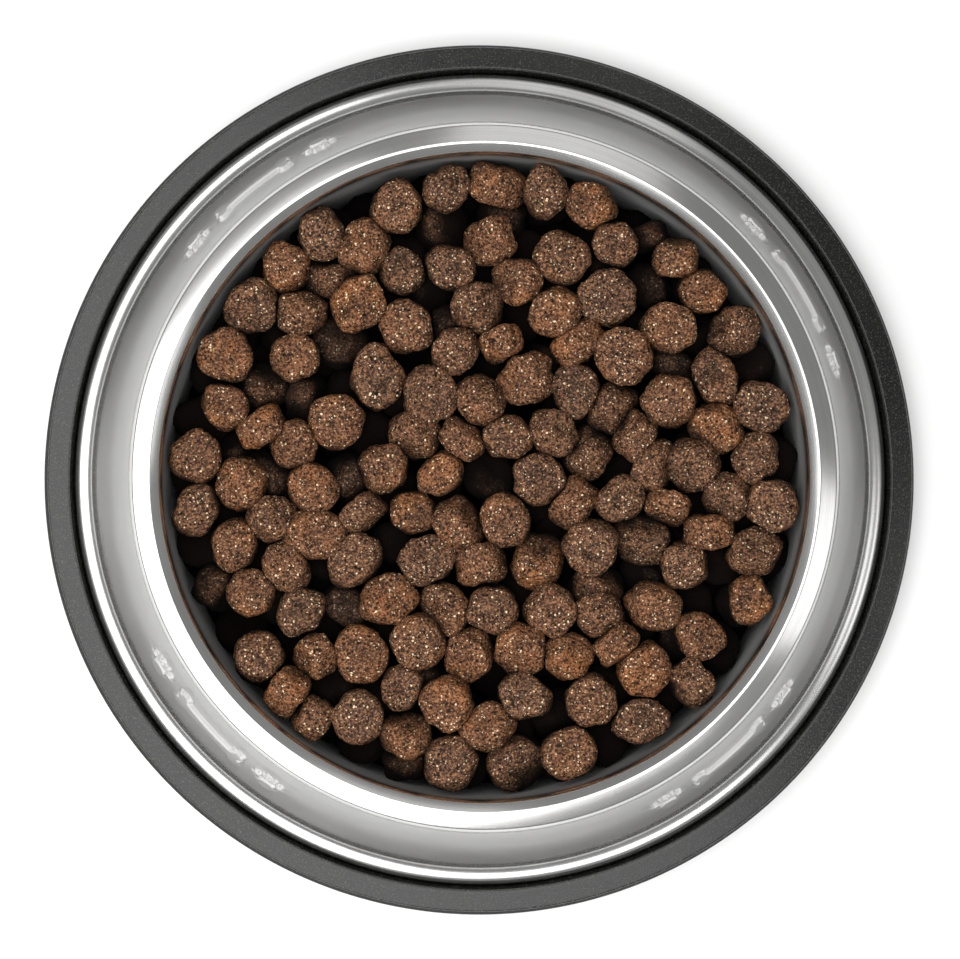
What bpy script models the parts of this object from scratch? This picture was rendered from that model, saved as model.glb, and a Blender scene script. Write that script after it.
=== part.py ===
"""A pet food bowl with dry food in it: a pressed steel bowl, its rubber foot ring and the food.

Metres, +Z up. The origin is on the bowl's axis, on the surface that the foot ring stands on.
"""

import math

import bmesh
import bpy
import numpy as np
from mathutils import Matrix, Vector

# Steel sheet. Radii are added up outwards from the mouth, and heights are above the ground.
SHEET = 0.0008
BOWL_HEIGHT = 0.070
MOUTH_RADIUS = 0.0904
FLOOR_HEIGHT = 0.0075
WALL_DRAFT = math.radians(3)
FLOOR_FILLET = 0.015
LIP_WIDTH = 0.0030
LIP_FALL = 0.0022
LIP_FILLET = 0.0028
RIM_WIDTH = 0.0050
RIM_FALL = 0.0021
RIM_INNER_FILLET = 0.0013
RIM_OUTER_FILLET = 0.0014
SKIRT_SPREAD = 0.0146
FLANGE_WIDTH = 0.0055
FLANGE_FALL = 0.0013
FLANGE_INNER_FILLET = 0.0036
FLANGE_OUTER_FILLET = 0.0028
EDGE_HEIGHT = 0.0030

# Rubber foot ring, which the skirt's lower edge sits in.
RING_HEIGHT = 0.0142
RING_REACH = 0.0092
RING_TOP_FALL = 0.0026
RING_FLARE = 0.0010
RING_INNER_WIDTH = 0.0040
RING_INNER_HEIGHT = 0.0090
RING_FILLET = 0.0007
RING_GROOVE_GAP = 0.0003
RING_MOUTH_WIDTH = 0.0010
RING_MOUTH_DEPTH = 0.0030
FLANGE_BELOW_RING = 0.0010

# Pressed ornaments on the skirt: a bone with a paw print on each side of it.
ORNAMENT_ANGLES = tuple(math.radians(a) for a in (30.7, 128.4, 222.4, 312.0))
ORNAMENT_RISE = 0.0004
ORNAMENT_DEPTH = 0.0005
ORNAMENT_STEP = 0.0001
ORNAMENT_GAP = 0.0042
BONE_LENGTH = 0.0260
BONE_KNOB_RADIUS = 0.0022
BONE_KNOB_SPREAD = 0.0018
BONE_BAR_WIDTH = 0.0034
PAW_PAD_RADIUS = 0.0026
PAW_TOE_RADIUS = 0.0011
PAW_TOE_REACH = 0.0044
PAW_TOE_ANGLES = tuple(math.radians(a) for a in (36, 72, 108, 144))

# Food. A piece is a short disc with broken edges.
PIECE_RADIUS = 0.0076
PIECE_THICKNESS = 0.0090
PIECE_EDGE = 0.0020
PIECE_SIDES = 6
PIECE_SIZE_RANGE = (0.88, 1.08)
PIECE_OVAL_RANGE = (0.90, 1.10)
PIECE_TAPERS = (1.0, 0.9, 0.8)
PIECE_GAP = 0.0003
PIECE_SINK = 0.0007
FOOD_DROP = 0.0055
FOOD_CROWN = 0.0008
FOOD_DEPTH = 0.0300
FILLER_DROP = 0.0120
WALL_GAP = 0.0005
WALL_PRESS = 0.0025
LAYER_COVER = 1.02
HEAPED_DEPTH = (0.0, 0.003)
BURIED_DEPTH = (0.003, 0.005)
LOOSE_COUNT = 57
FLAT_SHARE = 0.60
FLAT_TILT = math.radians(17)
STEEP_TILTS = (math.radians(28), math.radians(90))
SEED = 41

# How finely round things are divided.
TURN_STEPS = 48
KNOB_SIDES = 8
TOE_SIDES = 6
BAR_LENGTHS = 4

# The grid of heights that food pieces are dropped on, and how they are spread and settled on it.
CELL = 0.0004
PUSHES = 80
PUSH_SHARE = 0.4
ROLL_REACH = 12
ROLL_STEPS = ((0, 0),) + tuple((x, y) for x in (-3, -1, 0, 1, 3) for y in (-3, -1, 0, 1, 3) if x or y)
ROUND_TO = 6
UPRIGHT = 0.000001


def clear_scene():
    for obj in list(bpy.data.objects):
        bpy.data.objects.remove(obj, do_unlink=True)


def collection(name, shown=True):
    made = bpy.data.collections.new(name)
    made.hide_render = not shown
    bpy.context.scene.collection.children.link(made)
    return made


def material(name, colour, roughness, metallic):
    made = bpy.data.materials.new(name)
    made.use_nodes = True
    shader = made.node_tree.nodes["Principled BSDF"]
    shader.inputs["Base Color"].default_value = (*colour, 1)
    shader.inputs["Roughness"].default_value = roughness
    shader.inputs["Metallic"].default_value = metallic
    made.diffuse_color = (*colour, 1)
    return made


def new_object(name, mesh, group, finish=None):
    made = bpy.data.objects.new(name, mesh)
    group.objects.link(made)
    if finish and not mesh.materials:
        mesh.materials.append(finish)
    return made


def helper(name, mesh, group):
    """An object that only serves to shape another."""
    made = new_object(name, mesh, group)
    made.hide_render = True
    made.display_type = "WIRE"
    return made


def join(body, other):
    """Adds another closed shape to a body."""
    union = body.modifiers.new(other.name, "BOOLEAN")
    union.operation = "UNION"
    union.object = other


def rounded(corners, closed=False):
    """The points of an outline through (radius, height, fillet, steps) corners, with each fillet as an arc."""
    points = []
    count = len(corners)
    for i, (x, z, fillet, steps) in enumerate(corners):
        here = Vector((x, z))
        if fillet == 0 or (not closed and i in (0, count - 1)):
            points.append(here)
            continue
        to_last = Vector(corners[i - 1][:2]) - here
        to_next = Vector(corners[(i + 1) % count][:2]) - here
        half = to_last.angle(to_next) / 2
        reach = fillet / math.tan(half)
        start = here + to_last.normalized() * reach
        end = here + to_next.normalized() * reach
        inwards = (to_last.normalized() + to_next.normalized()).normalized()
        centre = here + inwards * reach / math.cos(half)
        sweep = (start - centre).angle_signed(end - centre)
        for step in range(steps + 1):
            turn = Matrix.Rotation(-sweep * step / steps, 2)
            points.append(centre + turn @ (start - centre))
    return points


def turned(name, outline, group, finish, closed):
    """An outline in the XZ plane, turned about Z with a Screw modifier."""
    count = len(outline)
    edges = [(i, (i + 1) % count) for i in range(count if closed else count - 1)]
    mesh = bpy.data.meshes.new(name)
    mesh.from_pydata([(x, 0, z) for x, z in outline], edges, [])
    made = new_object(name, mesh, group, finish)
    turn = made.modifiers.new("turn", "SCREW")
    turn.axis = "Z"
    turn.steps = turn.render_steps = TURN_STEPS
    turn.use_merge_vertices = True
    turn.merge_threshold = 0.00001
    turn.use_smooth_shade = True
    return made


def wall_top():
    """Where the inner wall's slope meets the rim's lip, as (radius, height)."""
    return MOUTH_RADIUS - LIP_WIDTH, BOWL_HEIGHT - LIP_FALL


def wall_radius(height):
    """The inner wall's radius at a height above the ground, with the floor's fillet left out."""
    top_radius, top_height = wall_top()
    return top_radius - (top_height - height) * math.tan(WALL_DRAFT)


def rim_radius():
    return MOUTH_RADIUS + RIM_WIDTH


def skirt_foot():
    """Where the skirt's straight slope would meet the flange."""
    return rim_radius() + SKIRT_SPREAD, RING_HEIGHT - FLANGE_BELOW_RING + FLANGE_FALL


def edge_radius():
    return rim_radius() + SKIRT_SPREAD + FLANGE_WIDTH


def steel_bowl(group, helpers):
    """The pressed sheet: floor, wall, lip, rim, skirt, flange and the turned-down lower edge."""
    finish = material("steel", (0.62, 0.61, 0.59), 0.28, 1.0)
    foot_radius, foot_height = skirt_foot()
    outline = rounded(
        [
            (0, FLOOR_HEIGHT, 0, 0),
            (wall_radius(FLOOR_HEIGHT), FLOOR_HEIGHT, FLOOR_FILLET, 4),
            (*wall_top(), LIP_FILLET, 2),
            (MOUTH_RADIUS, BOWL_HEIGHT, RIM_INNER_FILLET, 2),
            (rim_radius(), BOWL_HEIGHT - RIM_FALL, RIM_OUTER_FILLET, 2),
            (foot_radius, foot_height, FLANGE_INNER_FILLET, 2),
            (edge_radius(), foot_height - FLANGE_FALL, FLANGE_OUTER_FILLET, 2),
            (edge_radius(), EDGE_HEIGHT, 0, 0),
        ]
    )
    bowl = turned("bowl_shell", outline, group, finish, closed=False)
    sheet = bowl.modifiers.new("sheet", "SOLIDIFY")
    sheet.thickness = SHEET
    sheet.offset = -1
    sheet.use_even_offset = True
    for draw in (bar_and_paws, knobs):
        name = draw.__name__.replace("_", " ")
        join(bowl, skirt_ornament(name, draw, helpers))
    return bowl


def add_stud(mesh, along, up, radius, sides):
    """A short round stud, drawn flat: along and up are its place on the skirt and Z is outwards."""
    bmesh.ops.create_cone(
        mesh,
        cap_ends=True,
        segments=sides,
        radius1=radius,
        radius2=radius,
        depth=ORNAMENT_RISE + ORNAMENT_DEPTH,
        matrix=Matrix.Translation((along, up, (ORNAMENT_RISE - ORNAMENT_DEPTH) / 2)),
    )


def add_bar(mesh, length, width):
    """A flat bar in equal lengths, so that it can follow the skirt round."""
    depth = ORNAMENT_RISE + ORNAMENT_DEPTH
    lift = Matrix.Translation((0, 0, depth / 2 - ORNAMENT_DEPTH))
    made = bmesh.ops.create_cube(mesh, size=1, matrix=lift @ Matrix.Diagonal((length, width, depth, 1)))
    edges = {e for v in made["verts"] for e in v.link_edges}
    lengthwise = [e for e in edges if abs(e.verts[0].co.x - e.verts[1].co.x) > depth]
    bmesh.ops.subdivide_edges(mesh, edges=lengthwise, cuts=BAR_LENGTHS - 1, use_grid_fill=True)


def add_paw(mesh, along):
    """A paw print: a round pad with four toes over it."""
    drop = (PAW_TOE_REACH + PAW_TOE_RADIUS - PAW_PAD_RADIUS) / 2
    add_stud(mesh, along, -drop, PAW_PAD_RADIUS, KNOB_SIDES)
    for turn in PAW_TOE_ANGLES:
        right = along + PAW_TOE_REACH * math.cos(turn)
        up = PAW_TOE_REACH * math.sin(turn) - drop
        add_stud(mesh, right, up, PAW_TOE_RADIUS, TOE_SIDES)


def bar_and_paws(mesh):
    """The bone's bar and the paw prints on both sides of the bone, none of which touch each other."""
    add_bar(mesh, BONE_LENGTH - 2 * BONE_KNOB_RADIUS, BONE_BAR_WIDTH)
    half_paw = PAW_TOE_REACH * math.cos(PAW_TOE_ANGLES[0]) + PAW_TOE_RADIUS
    for side in (-1, 1):
        add_paw(mesh, side * (BONE_LENGTH / 2 + ORNAMENT_GAP + half_paw))


def knob_pair():
    """The outline of two round knobs that overlap, one above the other."""
    dip = math.asin(BONE_KNOB_SPREAD / BONE_KNOB_RADIUS)
    turns = [-dip + (math.pi + 2 * dip) * i / KNOB_SIDES for i in range(KNOB_SIDES)]
    upper = [(BONE_KNOB_RADIUS * math.cos(t), BONE_KNOB_SPREAD + BONE_KNOB_RADIUS * math.sin(t)) for t in turns]
    return upper + [(-x, -y) for x, y in upper]


def knobs(mesh):
    """The pair of knobs at each end of the bone, a step higher than the bar that they overlap."""
    for side in (-1, 1):
        along = side * (BONE_LENGTH / 2 - BONE_KNOB_RADIUS)
        base = [mesh.verts.new((along + x, y, -ORNAMENT_DEPTH)) for x, y in knob_pair()]
        raised = bmesh.ops.extrude_face_region(mesh, geom=[mesh.faces.new(base)])
        lifted = [v for v in raised["geom"] if isinstance(v, bmesh.types.BMVert)]
        lift = (0, 0, ORNAMENT_DEPTH + ORNAMENT_RISE + ORNAMENT_STEP)
        bmesh.ops.translate(mesh, verts=lifted, vec=lift)
    bmesh.ops.recalc_face_normals(mesh, faces=mesh.faces)


def wrapped(point, angle):
    """A point of a flat drawing, wrapped onto the skirt round the middle of its slope at an angle."""
    foot_radius, foot_height = skirt_foot()
    top = Vector((rim_radius(), 0, BOWL_HEIGHT - RIM_FALL))
    foot = Vector((foot_radius, 0, foot_height))
    slope = (top - foot).normalized()
    outwards = Vector((slope.z, 0, -slope.x))
    middle = (top + foot) / 2
    turn = Matrix.Rotation(angle + point.x / middle.x, 3, "Z")
    return turn @ (middle + slope * point.y + outwards * point.z)


def skirt_ornament(name, draw, helpers):
    """One layer of the ornament, as a mesh with a copy at each of the four places."""
    mesh = bpy.data.meshes.new(name)
    work = bmesh.new()
    for angle in ORNAMENT_ANGLES:
        flat = bmesh.new()
        draw(flat)
        for vertex in flat.verts:
            vertex.co = wrapped(vertex.co, angle)
        flat.to_mesh(mesh)
        flat.free()
        work.from_mesh(mesh)
    work.to_mesh(mesh)
    work.free()
    return helper(name, mesh, helpers)


def rubber_ring(group):
    """The foot ring: a groove with a widened mouth round the skirt's lower edge, and a top that falls outwards."""
    finish = material("rubber", (0.045, 0.045, 0.043), 0.6, 0.0)
    groove_out = edge_radius() + RING_GROOVE_GAP
    groove_in = edge_radius() - SHEET - RING_GROOVE_GAP
    groove_floor = EDGE_HEIGHT - RING_GROOVE_GAP
    foot_radius = groove_out + RING_REACH
    inner_radius = groove_in - RING_INNER_WIDTH
    shoulder = foot_radius - RING_FLARE
    outline = rounded(
        [
            (groove_out, groove_floor, 0, 0),
            (groove_out, RING_HEIGHT - RING_MOUTH_DEPTH, 0, 0),
            (groove_out + RING_MOUTH_WIDTH, RING_HEIGHT, RING_FILLET, 1),
            (shoulder, RING_HEIGHT - RING_TOP_FALL, RING_FILLET, 1),
            (foot_radius, 0, RING_FILLET, 1),
            (inner_radius, 0, RING_FILLET, 1),
            (inner_radius, RING_INNER_HEIGHT, RING_FILLET, 1),
            (groove_in, RING_INNER_HEIGHT, RING_FILLET, 1),
            (groove_in, groove_floor, 0, 0),
        ],
        closed=True,
    )
    return turned("rubber_ring", outline, group, finish, closed=True)


def piece_mesh(taper):
    """A food piece of unit size, a disc with a bevelled edge whose top is narrower by the taper."""
    work = bmesh.new()
    bmesh.ops.create_cone(
        work,
        cap_ends=True,
        segments=PIECE_SIDES,
        radius1=PIECE_RADIUS,
        radius2=PIECE_RADIUS * taper,
        depth=PIECE_THICKNESS,
    )
    rim = [e for e in work.edges if abs(e.verts[0].co.z - e.verts[1].co.z) < PIECE_EDGE]
    bmesh.ops.bevel(work, geom=rim, offset=PIECE_EDGE, segments=1, affect="EDGES")
    mesh = bpy.data.meshes.new("food piece")
    work.to_mesh(mesh)
    work.free()
    return mesh


def face_planes(mesh, shape):
    """Each face's outward normal and distance from the origin, after a 3 x 3 shape matrix."""
    flip = shape.inverted().transposed()
    normals = [(flip @ face.normal).normalized() for face in mesh.polygons]
    reach = [n.dot(shape @ face.center) for n, face in zip(normals, mesh.polygons)]
    return np.array(normals), np.array(reach)


def window_span():
    """Half the width, in cells, of the window that holds any food piece."""
    across = math.hypot(PIECE_RADIUS * PIECE_OVAL_RANGE[1], PIECE_THICKNESS / 2)
    return math.ceil((across * PIECE_SIZE_RANGE[1] + 2 * PIECE_GAP) / CELL)


def top_and_bottom(normals, reach, gap):
    """The heights of a convex piece's upper and lower faces over the cells of a window about its centre."""
    span = window_span()
    line = np.arange(-span, span + 1) * CELL
    x, y = np.meshgrid(line, line, indexing="ij")
    upright = np.abs(normals[:, 2]) < UPRIGHT
    top = np.full(x.shape, np.inf)
    bottom = np.full(x.shape, -np.inf)
    inside = np.ones(x.shape, bool)
    for (nx, ny, nz), d, wall in zip(normals, reach + gap, upright):
        level = d - nx * x - ny * y
        if wall:
            inside &= level >= 0
        elif nz > 0:
            top = np.minimum(top, level / nz)
        else:
            bottom = np.maximum(bottom, level / nz)
    inside &= top >= bottom
    return np.where(inside, top, -np.inf), np.where(inside, bottom, np.inf)


def bowl_heights():
    """The grid's cell places along one axis, and the heights of the bowl's wall over it, down to a flat bottom."""
    count = math.ceil(2 * MOUTH_RADIUS / CELL / 2) * 2 + 1 + 2 * window_span()
    line = (np.arange(count) - count // 2) * CELL
    x, y = np.meshgrid(line, line, indexing="ij")
    top_radius, top_height = wall_top()
    from_wall = np.hypot(x, y) + WALL_GAP - top_radius
    wall = top_height + from_wall / math.tan(WALL_DRAFT)
    wall = np.where(from_wall > 0, BOWL_HEIGHT * 4, wall)
    return line, np.maximum(wall, BOWL_HEIGHT - FOOD_DROP - FOOD_DEPTH)


def filler_height():
    """Where the heap that all the pieces lie in has its flat top."""
    return BOWL_HEIGHT - FOOD_DROP - FILLER_DROP


def food_level(x, y):
    """The height that no food piece rises above, a little crowned towards the middle."""
    share = np.hypot(x, y) / MOUTH_RADIUS
    return BOWL_HEIGHT - FOOD_DROP - FOOD_CROWN * (share**2)


def random_shape(rng):
    """The 3 x 3 matrix of a food piece: its size, its oval outline and the way it has come to lie."""
    size = rng.uniform(*PIECE_SIZE_RANGE)
    oval = rng.uniform(*PIECE_OVAL_RANGE)
    thick = rng.uniform(*PIECE_OVAL_RANGE)
    flat = rng.random() < FLAT_SHARE
    tilt = abs(rng.normal(0, FLAT_TILT)) if flat else rng.uniform(*STEEP_TILTS)
    lean = Matrix.Rotation(rng.uniform(0, math.tau), 3, "Z") @ Matrix.Rotation(tilt, 3, "X")
    spin = Matrix.Rotation(rng.uniform(0, math.tau), 3, "Z")
    return lean @ spin @ Matrix.Diagonal((size * oval, size / oval, size * thick))


def layer_of_pieces(rng, meshes, reach):
    """Enough food pieces to cover their share of a disc: (mesh number, shape, planes, radius of its shadow)."""
    made = []
    covered = 0
    while covered < LAYER_COVER * math.pi * reach**2:
        kind = int(rng.integers(len(meshes)))
        shape = random_shape(rng)
        planes = face_planes(meshes[kind], shape)
        shadow = np.isfinite(top_and_bottom(*planes, 0)[0]).sum() * CELL**2
        covered += shadow
        made.append((kind, shape, planes, math.sqrt(shadow / math.pi)))
    return made


def piece_height(piece):
    """How tall a piece of a layer stands."""
    top, bottom = top_and_bottom(*piece[2], 0)
    return top.max() - bottom.min()


def spread_out(rng, reach, radii):
    """Places on a disc for circles of some radii, pushed apart until they hardly overlap."""
    turn = rng.uniform(0, math.tau, len(radii))
    out = reach * np.sqrt(rng.random(len(radii)))
    places = np.stack((out * np.cos(turn), out * np.sin(turn)), axis=1)
    for _ in range(PUSHES):
        apart = places[:, None] - places[None]
        distance = np.hypot(apart[..., 0], apart[..., 1]) + np.eye(len(radii))
        overlap = np.clip(radii[:, None] + radii[None] - distance, 0, None)
        places += PUSH_SHARE * (apart * (overlap / distance)[..., None]).sum(axis=1)
        out = np.hypot(places[:, 0], places[:, 1])
        places *= np.minimum(1, (reach - radii) / np.maximum(out, radii))[:, None]
    return places


def roll_down(grid, bottom, start):
    """The place within a short way of the start where a piece comes to rest lowest, and its centre's height."""
    windows = np.lib.stride_tricks.sliding_window_view(grid, bottom.shape)
    steps = np.array(ROLL_STEPS)
    here = start
    while True:
        tries = np.clip(here + steps, start - ROLL_REACH, start + ROLL_REACH)
        levels = np.max(windows[tries[:, 0], tries[:, 1]] - bottom, axis=(1, 2))
        best = int(np.argmin(np.round(levels, ROUND_TO)))
        if best == 0:
            return here, levels[0]
        here = tries[best]


class Heights:
    """The grid of heights over the bowl, and one food piece's place on it."""

    def __init__(self):
        self.line, self.wall = bowl_heights()
        self.loose = self.wall.copy()
        self.heap = self.wall.copy()

    def start(self, place, top):
        return np.rint(place / CELL).astype(int) + len(self.line) // 2 - top.shape[0] // 2

    def centre(self, corner, top):
        return tuple(self.line[corner + top.shape[0] // 2])

    def add(self, grid, corner, top, height):
        """Raises a grid to a piece's upper faces."""
        ix, iy = corner
        patch = grid[ix : ix + top.shape[0], iy : iy + top.shape[1]]
        np.maximum(patch, height + top, out=patch)


def place_loose(heights, layer, places):
    """Lays the loose pieces on what is in the bowl, a small gap clear of it and of each other."""
    made = []
    base = np.maximum(heights.wall, filler_height())
    for (kind, shape, planes, _), place in zip(layer, places):
        top, bottom = top_and_bottom(*planes, PIECE_GAP + CELL / 2)
        corner, level = roll_down(base, bottom, heights.start(place, top))
        x, y = heights.centre(corner, top)
        if level + top.max() > food_level(x, y):
            continue
        heights.add(base, corner, top, level)
        heights.add(heights.loose, corner, top, level + PIECE_SINK)
        made.append((kind, Matrix.Translation((x, y, level)) @ shape.to_4x4(), True))
    heights.heap = heights.loose.copy()
    return made


def place_heaped(rng, heights, layer, places):
    """Sets the heap's upper pieces between the loose ones, deeper in the heap where the level has no room."""
    made = []
    for (kind, shape, planes, _), place in zip(layer, places):
        top, bottom = top_and_bottom(*planes, 0)
        rooted = filler_height() - PIECE_SINK - bottom.min()
        for grid, depth in ((heights.heap, HEAPED_DEPTH), (heights.loose, BURIED_DEPTH)):
            corner, level = roll_down(grid, bottom, heights.start(place, top))
            x, y = heights.centre(corner, top)
            ceiling = food_level(x, y) - top.max()
            height = max(level - PIECE_SINK, min(ceiling, rooted) - rng.uniform(*depth))
            if height <= ceiling:
                heights.add(heights.heap, corner, top, height)
                made.append((kind, Matrix.Translation((x, y, height)) @ shape.to_4x4(), False))
                break
    return made


def fill_bowl():
    """Fills the bowl and gives (mesh number, matrix, is loose) for each food piece that shows."""
    rng = np.random.default_rng(SEED)
    meshes = [piece_mesh(taper) for taper in PIECE_TAPERS]
    heights = Heights()
    reach = wall_radius(BOWL_HEIGHT - FOOD_DROP)
    layer = layer_of_pieces(rng, meshes, reach)
    layer.sort(key=piece_height)
    radii = np.array([piece[3] for piece in layer])
    places = spread_out(rng, reach + WALL_PRESS, radii + PIECE_GAP)
    pieces = place_loose(heights, layer[:LOOSE_COUNT], places)
    pieces += place_heaped(rng, heights, layer[LOOSE_COUNT:], places[LOOSE_COUNT:])
    return meshes, pieces


def heap_filler(group, finish):
    """The food below the pieces that show, as one turned body a small gap inside the steel."""
    top = filler_height()
    floor = FLOOR_HEIGHT + PIECE_GAP
    lean = PIECE_GAP / math.cos(WALL_DRAFT) + MOUTH_RADIUS * (1 - math.cos(math.pi / TURN_STEPS))
    outline = rounded(
        [
            (0, top, 0, 0),
            (wall_radius(top) - lean, top, 0, 0),
            (wall_radius(floor) - lean, floor, FLOOR_FILLET, 3),
            (0, floor, 0, 0),
        ]
    )
    return turned("kibble_heap", outline, group, finish, closed=False)


def surfaces(work):
    """The separate closed surfaces of a bmesh, each as a set of vertices."""
    left = set(work.verts)
    found = []
    while left:
        waiting = [left.pop()]
        surface = set(waiting)
        while waiting:
            vertex = waiting.pop()
            near = {e.other_vert(vertex) for e in vertex.link_edges} & left
            left -= near
            surface |= near
            waiting.extend(near)
        found.append(surface)
    return found


def fill_cavities(body):
    """Applies a body's modifiers and keeps only its largest surface, so that closed hollows become solid."""
    graph = bpy.context.evaluated_depsgraph_get()
    mesh = bpy.data.meshes.new_from_object(body.evaluated_get(graph))
    work = bmesh.new()
    work.from_mesh(mesh)
    inner = sorted(surfaces(work), key=len)[:-1]
    bmesh.ops.delete(work, geom=[v for surface in inner for v in surface], context="VERTS")
    work.to_mesh(mesh)
    work.free()
    body.modifiers.clear()
    body.data = mesh


def food(group, helpers):
    """The loose pieces on top, each an object, and the heap that they lie in."""
    finish = material("food", (0.13, 0.075, 0.045), 0.75, 0.0)
    meshes, pieces = fill_bowl()
    for mesh in meshes:
        mesh.materials.append(finish)
    heap = heap_filler(group, finish)
    for number, (kind, matrix, loose) in enumerate(pieces, 1):
        if loose:
            made = new_object(f"kibble_{number:02d}", meshes[kind], group)
        else:
            made = helper(f"heaped piece {number}", meshes[kind], helpers)
            join(heap, made)
        made.matrix_world = matrix
    fill_cavities(heap)


def main():
    clear_scene()
    parts = collection("pet food bowl")
    helpers = collection("shapes joined into others", shown=False)
    steel_bowl(parts, helpers)
    rubber_ring(parts)
    food(parts, helpers)


main()
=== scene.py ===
"""The looks of a filled pet food bowl: satin steel, a rubber foot ring and dry food pieces.

Everything is in metres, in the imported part's own frame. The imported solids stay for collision, and the
detailed pieces made here stand for them.
"""

import logging
import math
from dataclasses import dataclass, field
from enum import Enum

import bmesh
import bpy
import numpy as np
from mathutils import Matrix, Vector, noise

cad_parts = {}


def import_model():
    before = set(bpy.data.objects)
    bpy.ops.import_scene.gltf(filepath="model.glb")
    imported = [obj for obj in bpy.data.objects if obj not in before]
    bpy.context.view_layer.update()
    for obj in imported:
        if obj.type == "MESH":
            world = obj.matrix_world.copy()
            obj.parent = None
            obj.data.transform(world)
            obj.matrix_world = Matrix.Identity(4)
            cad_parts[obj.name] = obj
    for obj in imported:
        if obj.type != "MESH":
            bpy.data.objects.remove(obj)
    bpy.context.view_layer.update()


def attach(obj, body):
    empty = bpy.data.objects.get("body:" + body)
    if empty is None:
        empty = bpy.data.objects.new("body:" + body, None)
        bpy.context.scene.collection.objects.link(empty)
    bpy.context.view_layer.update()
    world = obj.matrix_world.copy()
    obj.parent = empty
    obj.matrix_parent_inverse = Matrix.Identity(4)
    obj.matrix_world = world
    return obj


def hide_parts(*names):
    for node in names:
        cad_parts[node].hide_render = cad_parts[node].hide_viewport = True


LOG = logging.getLogger("pet_food_bowl")

# A range is (low, high). A ramp is a range and the values at its two ends.
Colour = tuple[float, float, float]
Range = tuple[float, float]
Ramp = tuple[float, float, float, float]

# An outline is (radius, height) points, and corners have their fillet as a third number. Planes are the
# faces' normals and their distances from the origin.
Outline = list[tuple[float, float]]
Corners = list[tuple[float, float, float]]
Planes = tuple[np.ndarray, np.ndarray]

# What a shader socket can be fed with, and such values by the socket's name or number.
Value = bpy.types.NodeSocket | float | tuple[float, ...]
Links = dict[str | int, Value]


class Slot(Enum):
    """The record's material slots."""

    STEEL = "steel"
    RUBBER = "rubber"
    FOOD = "food"


@dataclass(frozen=True)
class Grain:
    """Fractal noise: grains for each metre, how many finer layers it has and how strong they are."""

    scale: float
    detail: float
    rough: float


class NodeGraph:
    """A small helper that adds shader nodes and links to one material."""

    def __init__(self, name: str) -> None:
        """Makes a material that has only its shader.

        Args:
            name: the material's name.
        """
        self.material = bpy.data.materials.new(name)
        self.material.use_nodes = True
        self.tree = self.material.node_tree
        self.shader = self.tree.nodes["Principled BSDF"]

    def add(self, kind: str, links: Links | None = None, **settings: str | bool) -> bpy.types.Node:
        """Adds a node.

        Args:
            kind: the node's type name, without the ShaderNode prefix.
            links: socket name or number to a value, or to an output socket to link from.
            settings: the node's own properties.

        Returns:
            The new node.
        """
        node = self.tree.nodes.new("ShaderNode" + kind)
        for key, value in settings.items():
            setattr(node, key, value)
        for key, value in (links or {}).items():
            self.feed(node.inputs[key], value)
        return node

    def feed(self, socket: bpy.types.NodeSocket, value: Value) -> None:
        """Links an output to a socket, or sets the socket's own value.

        Args:
            socket: the input socket.
            value: the output socket or the value.
        """
        if isinstance(value, bpy.types.NodeSocket):
            self.tree.links.new(value, socket)
        else:
            socket.default_value = value

    def dress(self, socket: str, value: Value) -> None:
        """Feeds one of the shader's own sockets."""
        self.feed(self.shader.inputs[socket], value)

    def math(self, operation: str, *values: Value) -> bpy.types.NodeSocket:
        """Adds a Math node.

        Args:
            operation: the operation's name.
            values: numbers or output sockets.

        Returns:
            The node's output.
        """
        node = self.add("Math", operation=operation)
        for socket, value in zip(node.inputs, values):
            self.feed(socket, value)
        return node.outputs[0]

    def place(self) -> bpy.types.NodeSocket:
        """The point's place in the object's own frame, in metres."""
        return self.add("TexCoord").outputs["Object"]

    def grain(self, place: Value, grain: Grain) -> bpy.types.NodeSocket:
        """Adds fractal noise from 0 to 1, read at a place."""
        links = {"Vector": place, "Scale": grain.scale, "Detail": grain.detail, "Roughness": grain.rough}
        return self.add("TexNoise", links).outputs["Fac"]

    def ramp(
        self, factor: Value, low: float, high: float, start: float = 0.0, end: float = 1.0
    ) -> bpy.types.NodeSocket:
        """Maps a value smoothly from one range to another, and holds it at the ends."""
        links = {"Value": factor, "From Min": low, "From Max": high, "To Min": start, "To Max": end}
        return self.add("MapRange", links, interpolation_type="SMOOTHSTEP").outputs["Result"]

    def mix(self, factor: Value, first: Value, second: Value) -> bpy.types.NodeSocket:
        """Mixes two colours.

        Args:
            factor: the share of the second colour.
            first: a colour or an output socket.
            second: a colour or an output socket.

        Returns:
            The mixed colour.
        """
        node = self.add("Mix", data_type="RGBA", blend_type="MIX", clamp_factor=True)
        self.feed(node.inputs["Factor"], factor)
        for socket, value in ((node.inputs[6], first), (node.inputs[7], second)):
            self.feed(socket, value if isinstance(value, bpy.types.NodeSocket) else (*value, 1.0))
        return node.outputs[2]

    def bump(
        self, height: Value, distance: float, strength: float = 1.0, under: Value | None = None
    ) -> bpy.types.NodeSocket:
        """Adds a bump.

        Args:
            height: the height from 0 to 1.
            distance: how many metres a height of 1 stands up.
            strength: the bump's share.
            under: the normal of a coarser bump.

        Returns:
            The bumped normal.
        """
        node = self.add("Bump", {"Height": height, "Distance": distance, "Strength": strength})
        if under is not None:
            self.feed(node.inputs["Normal"], under)
        return node.outputs["Normal"]


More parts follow.
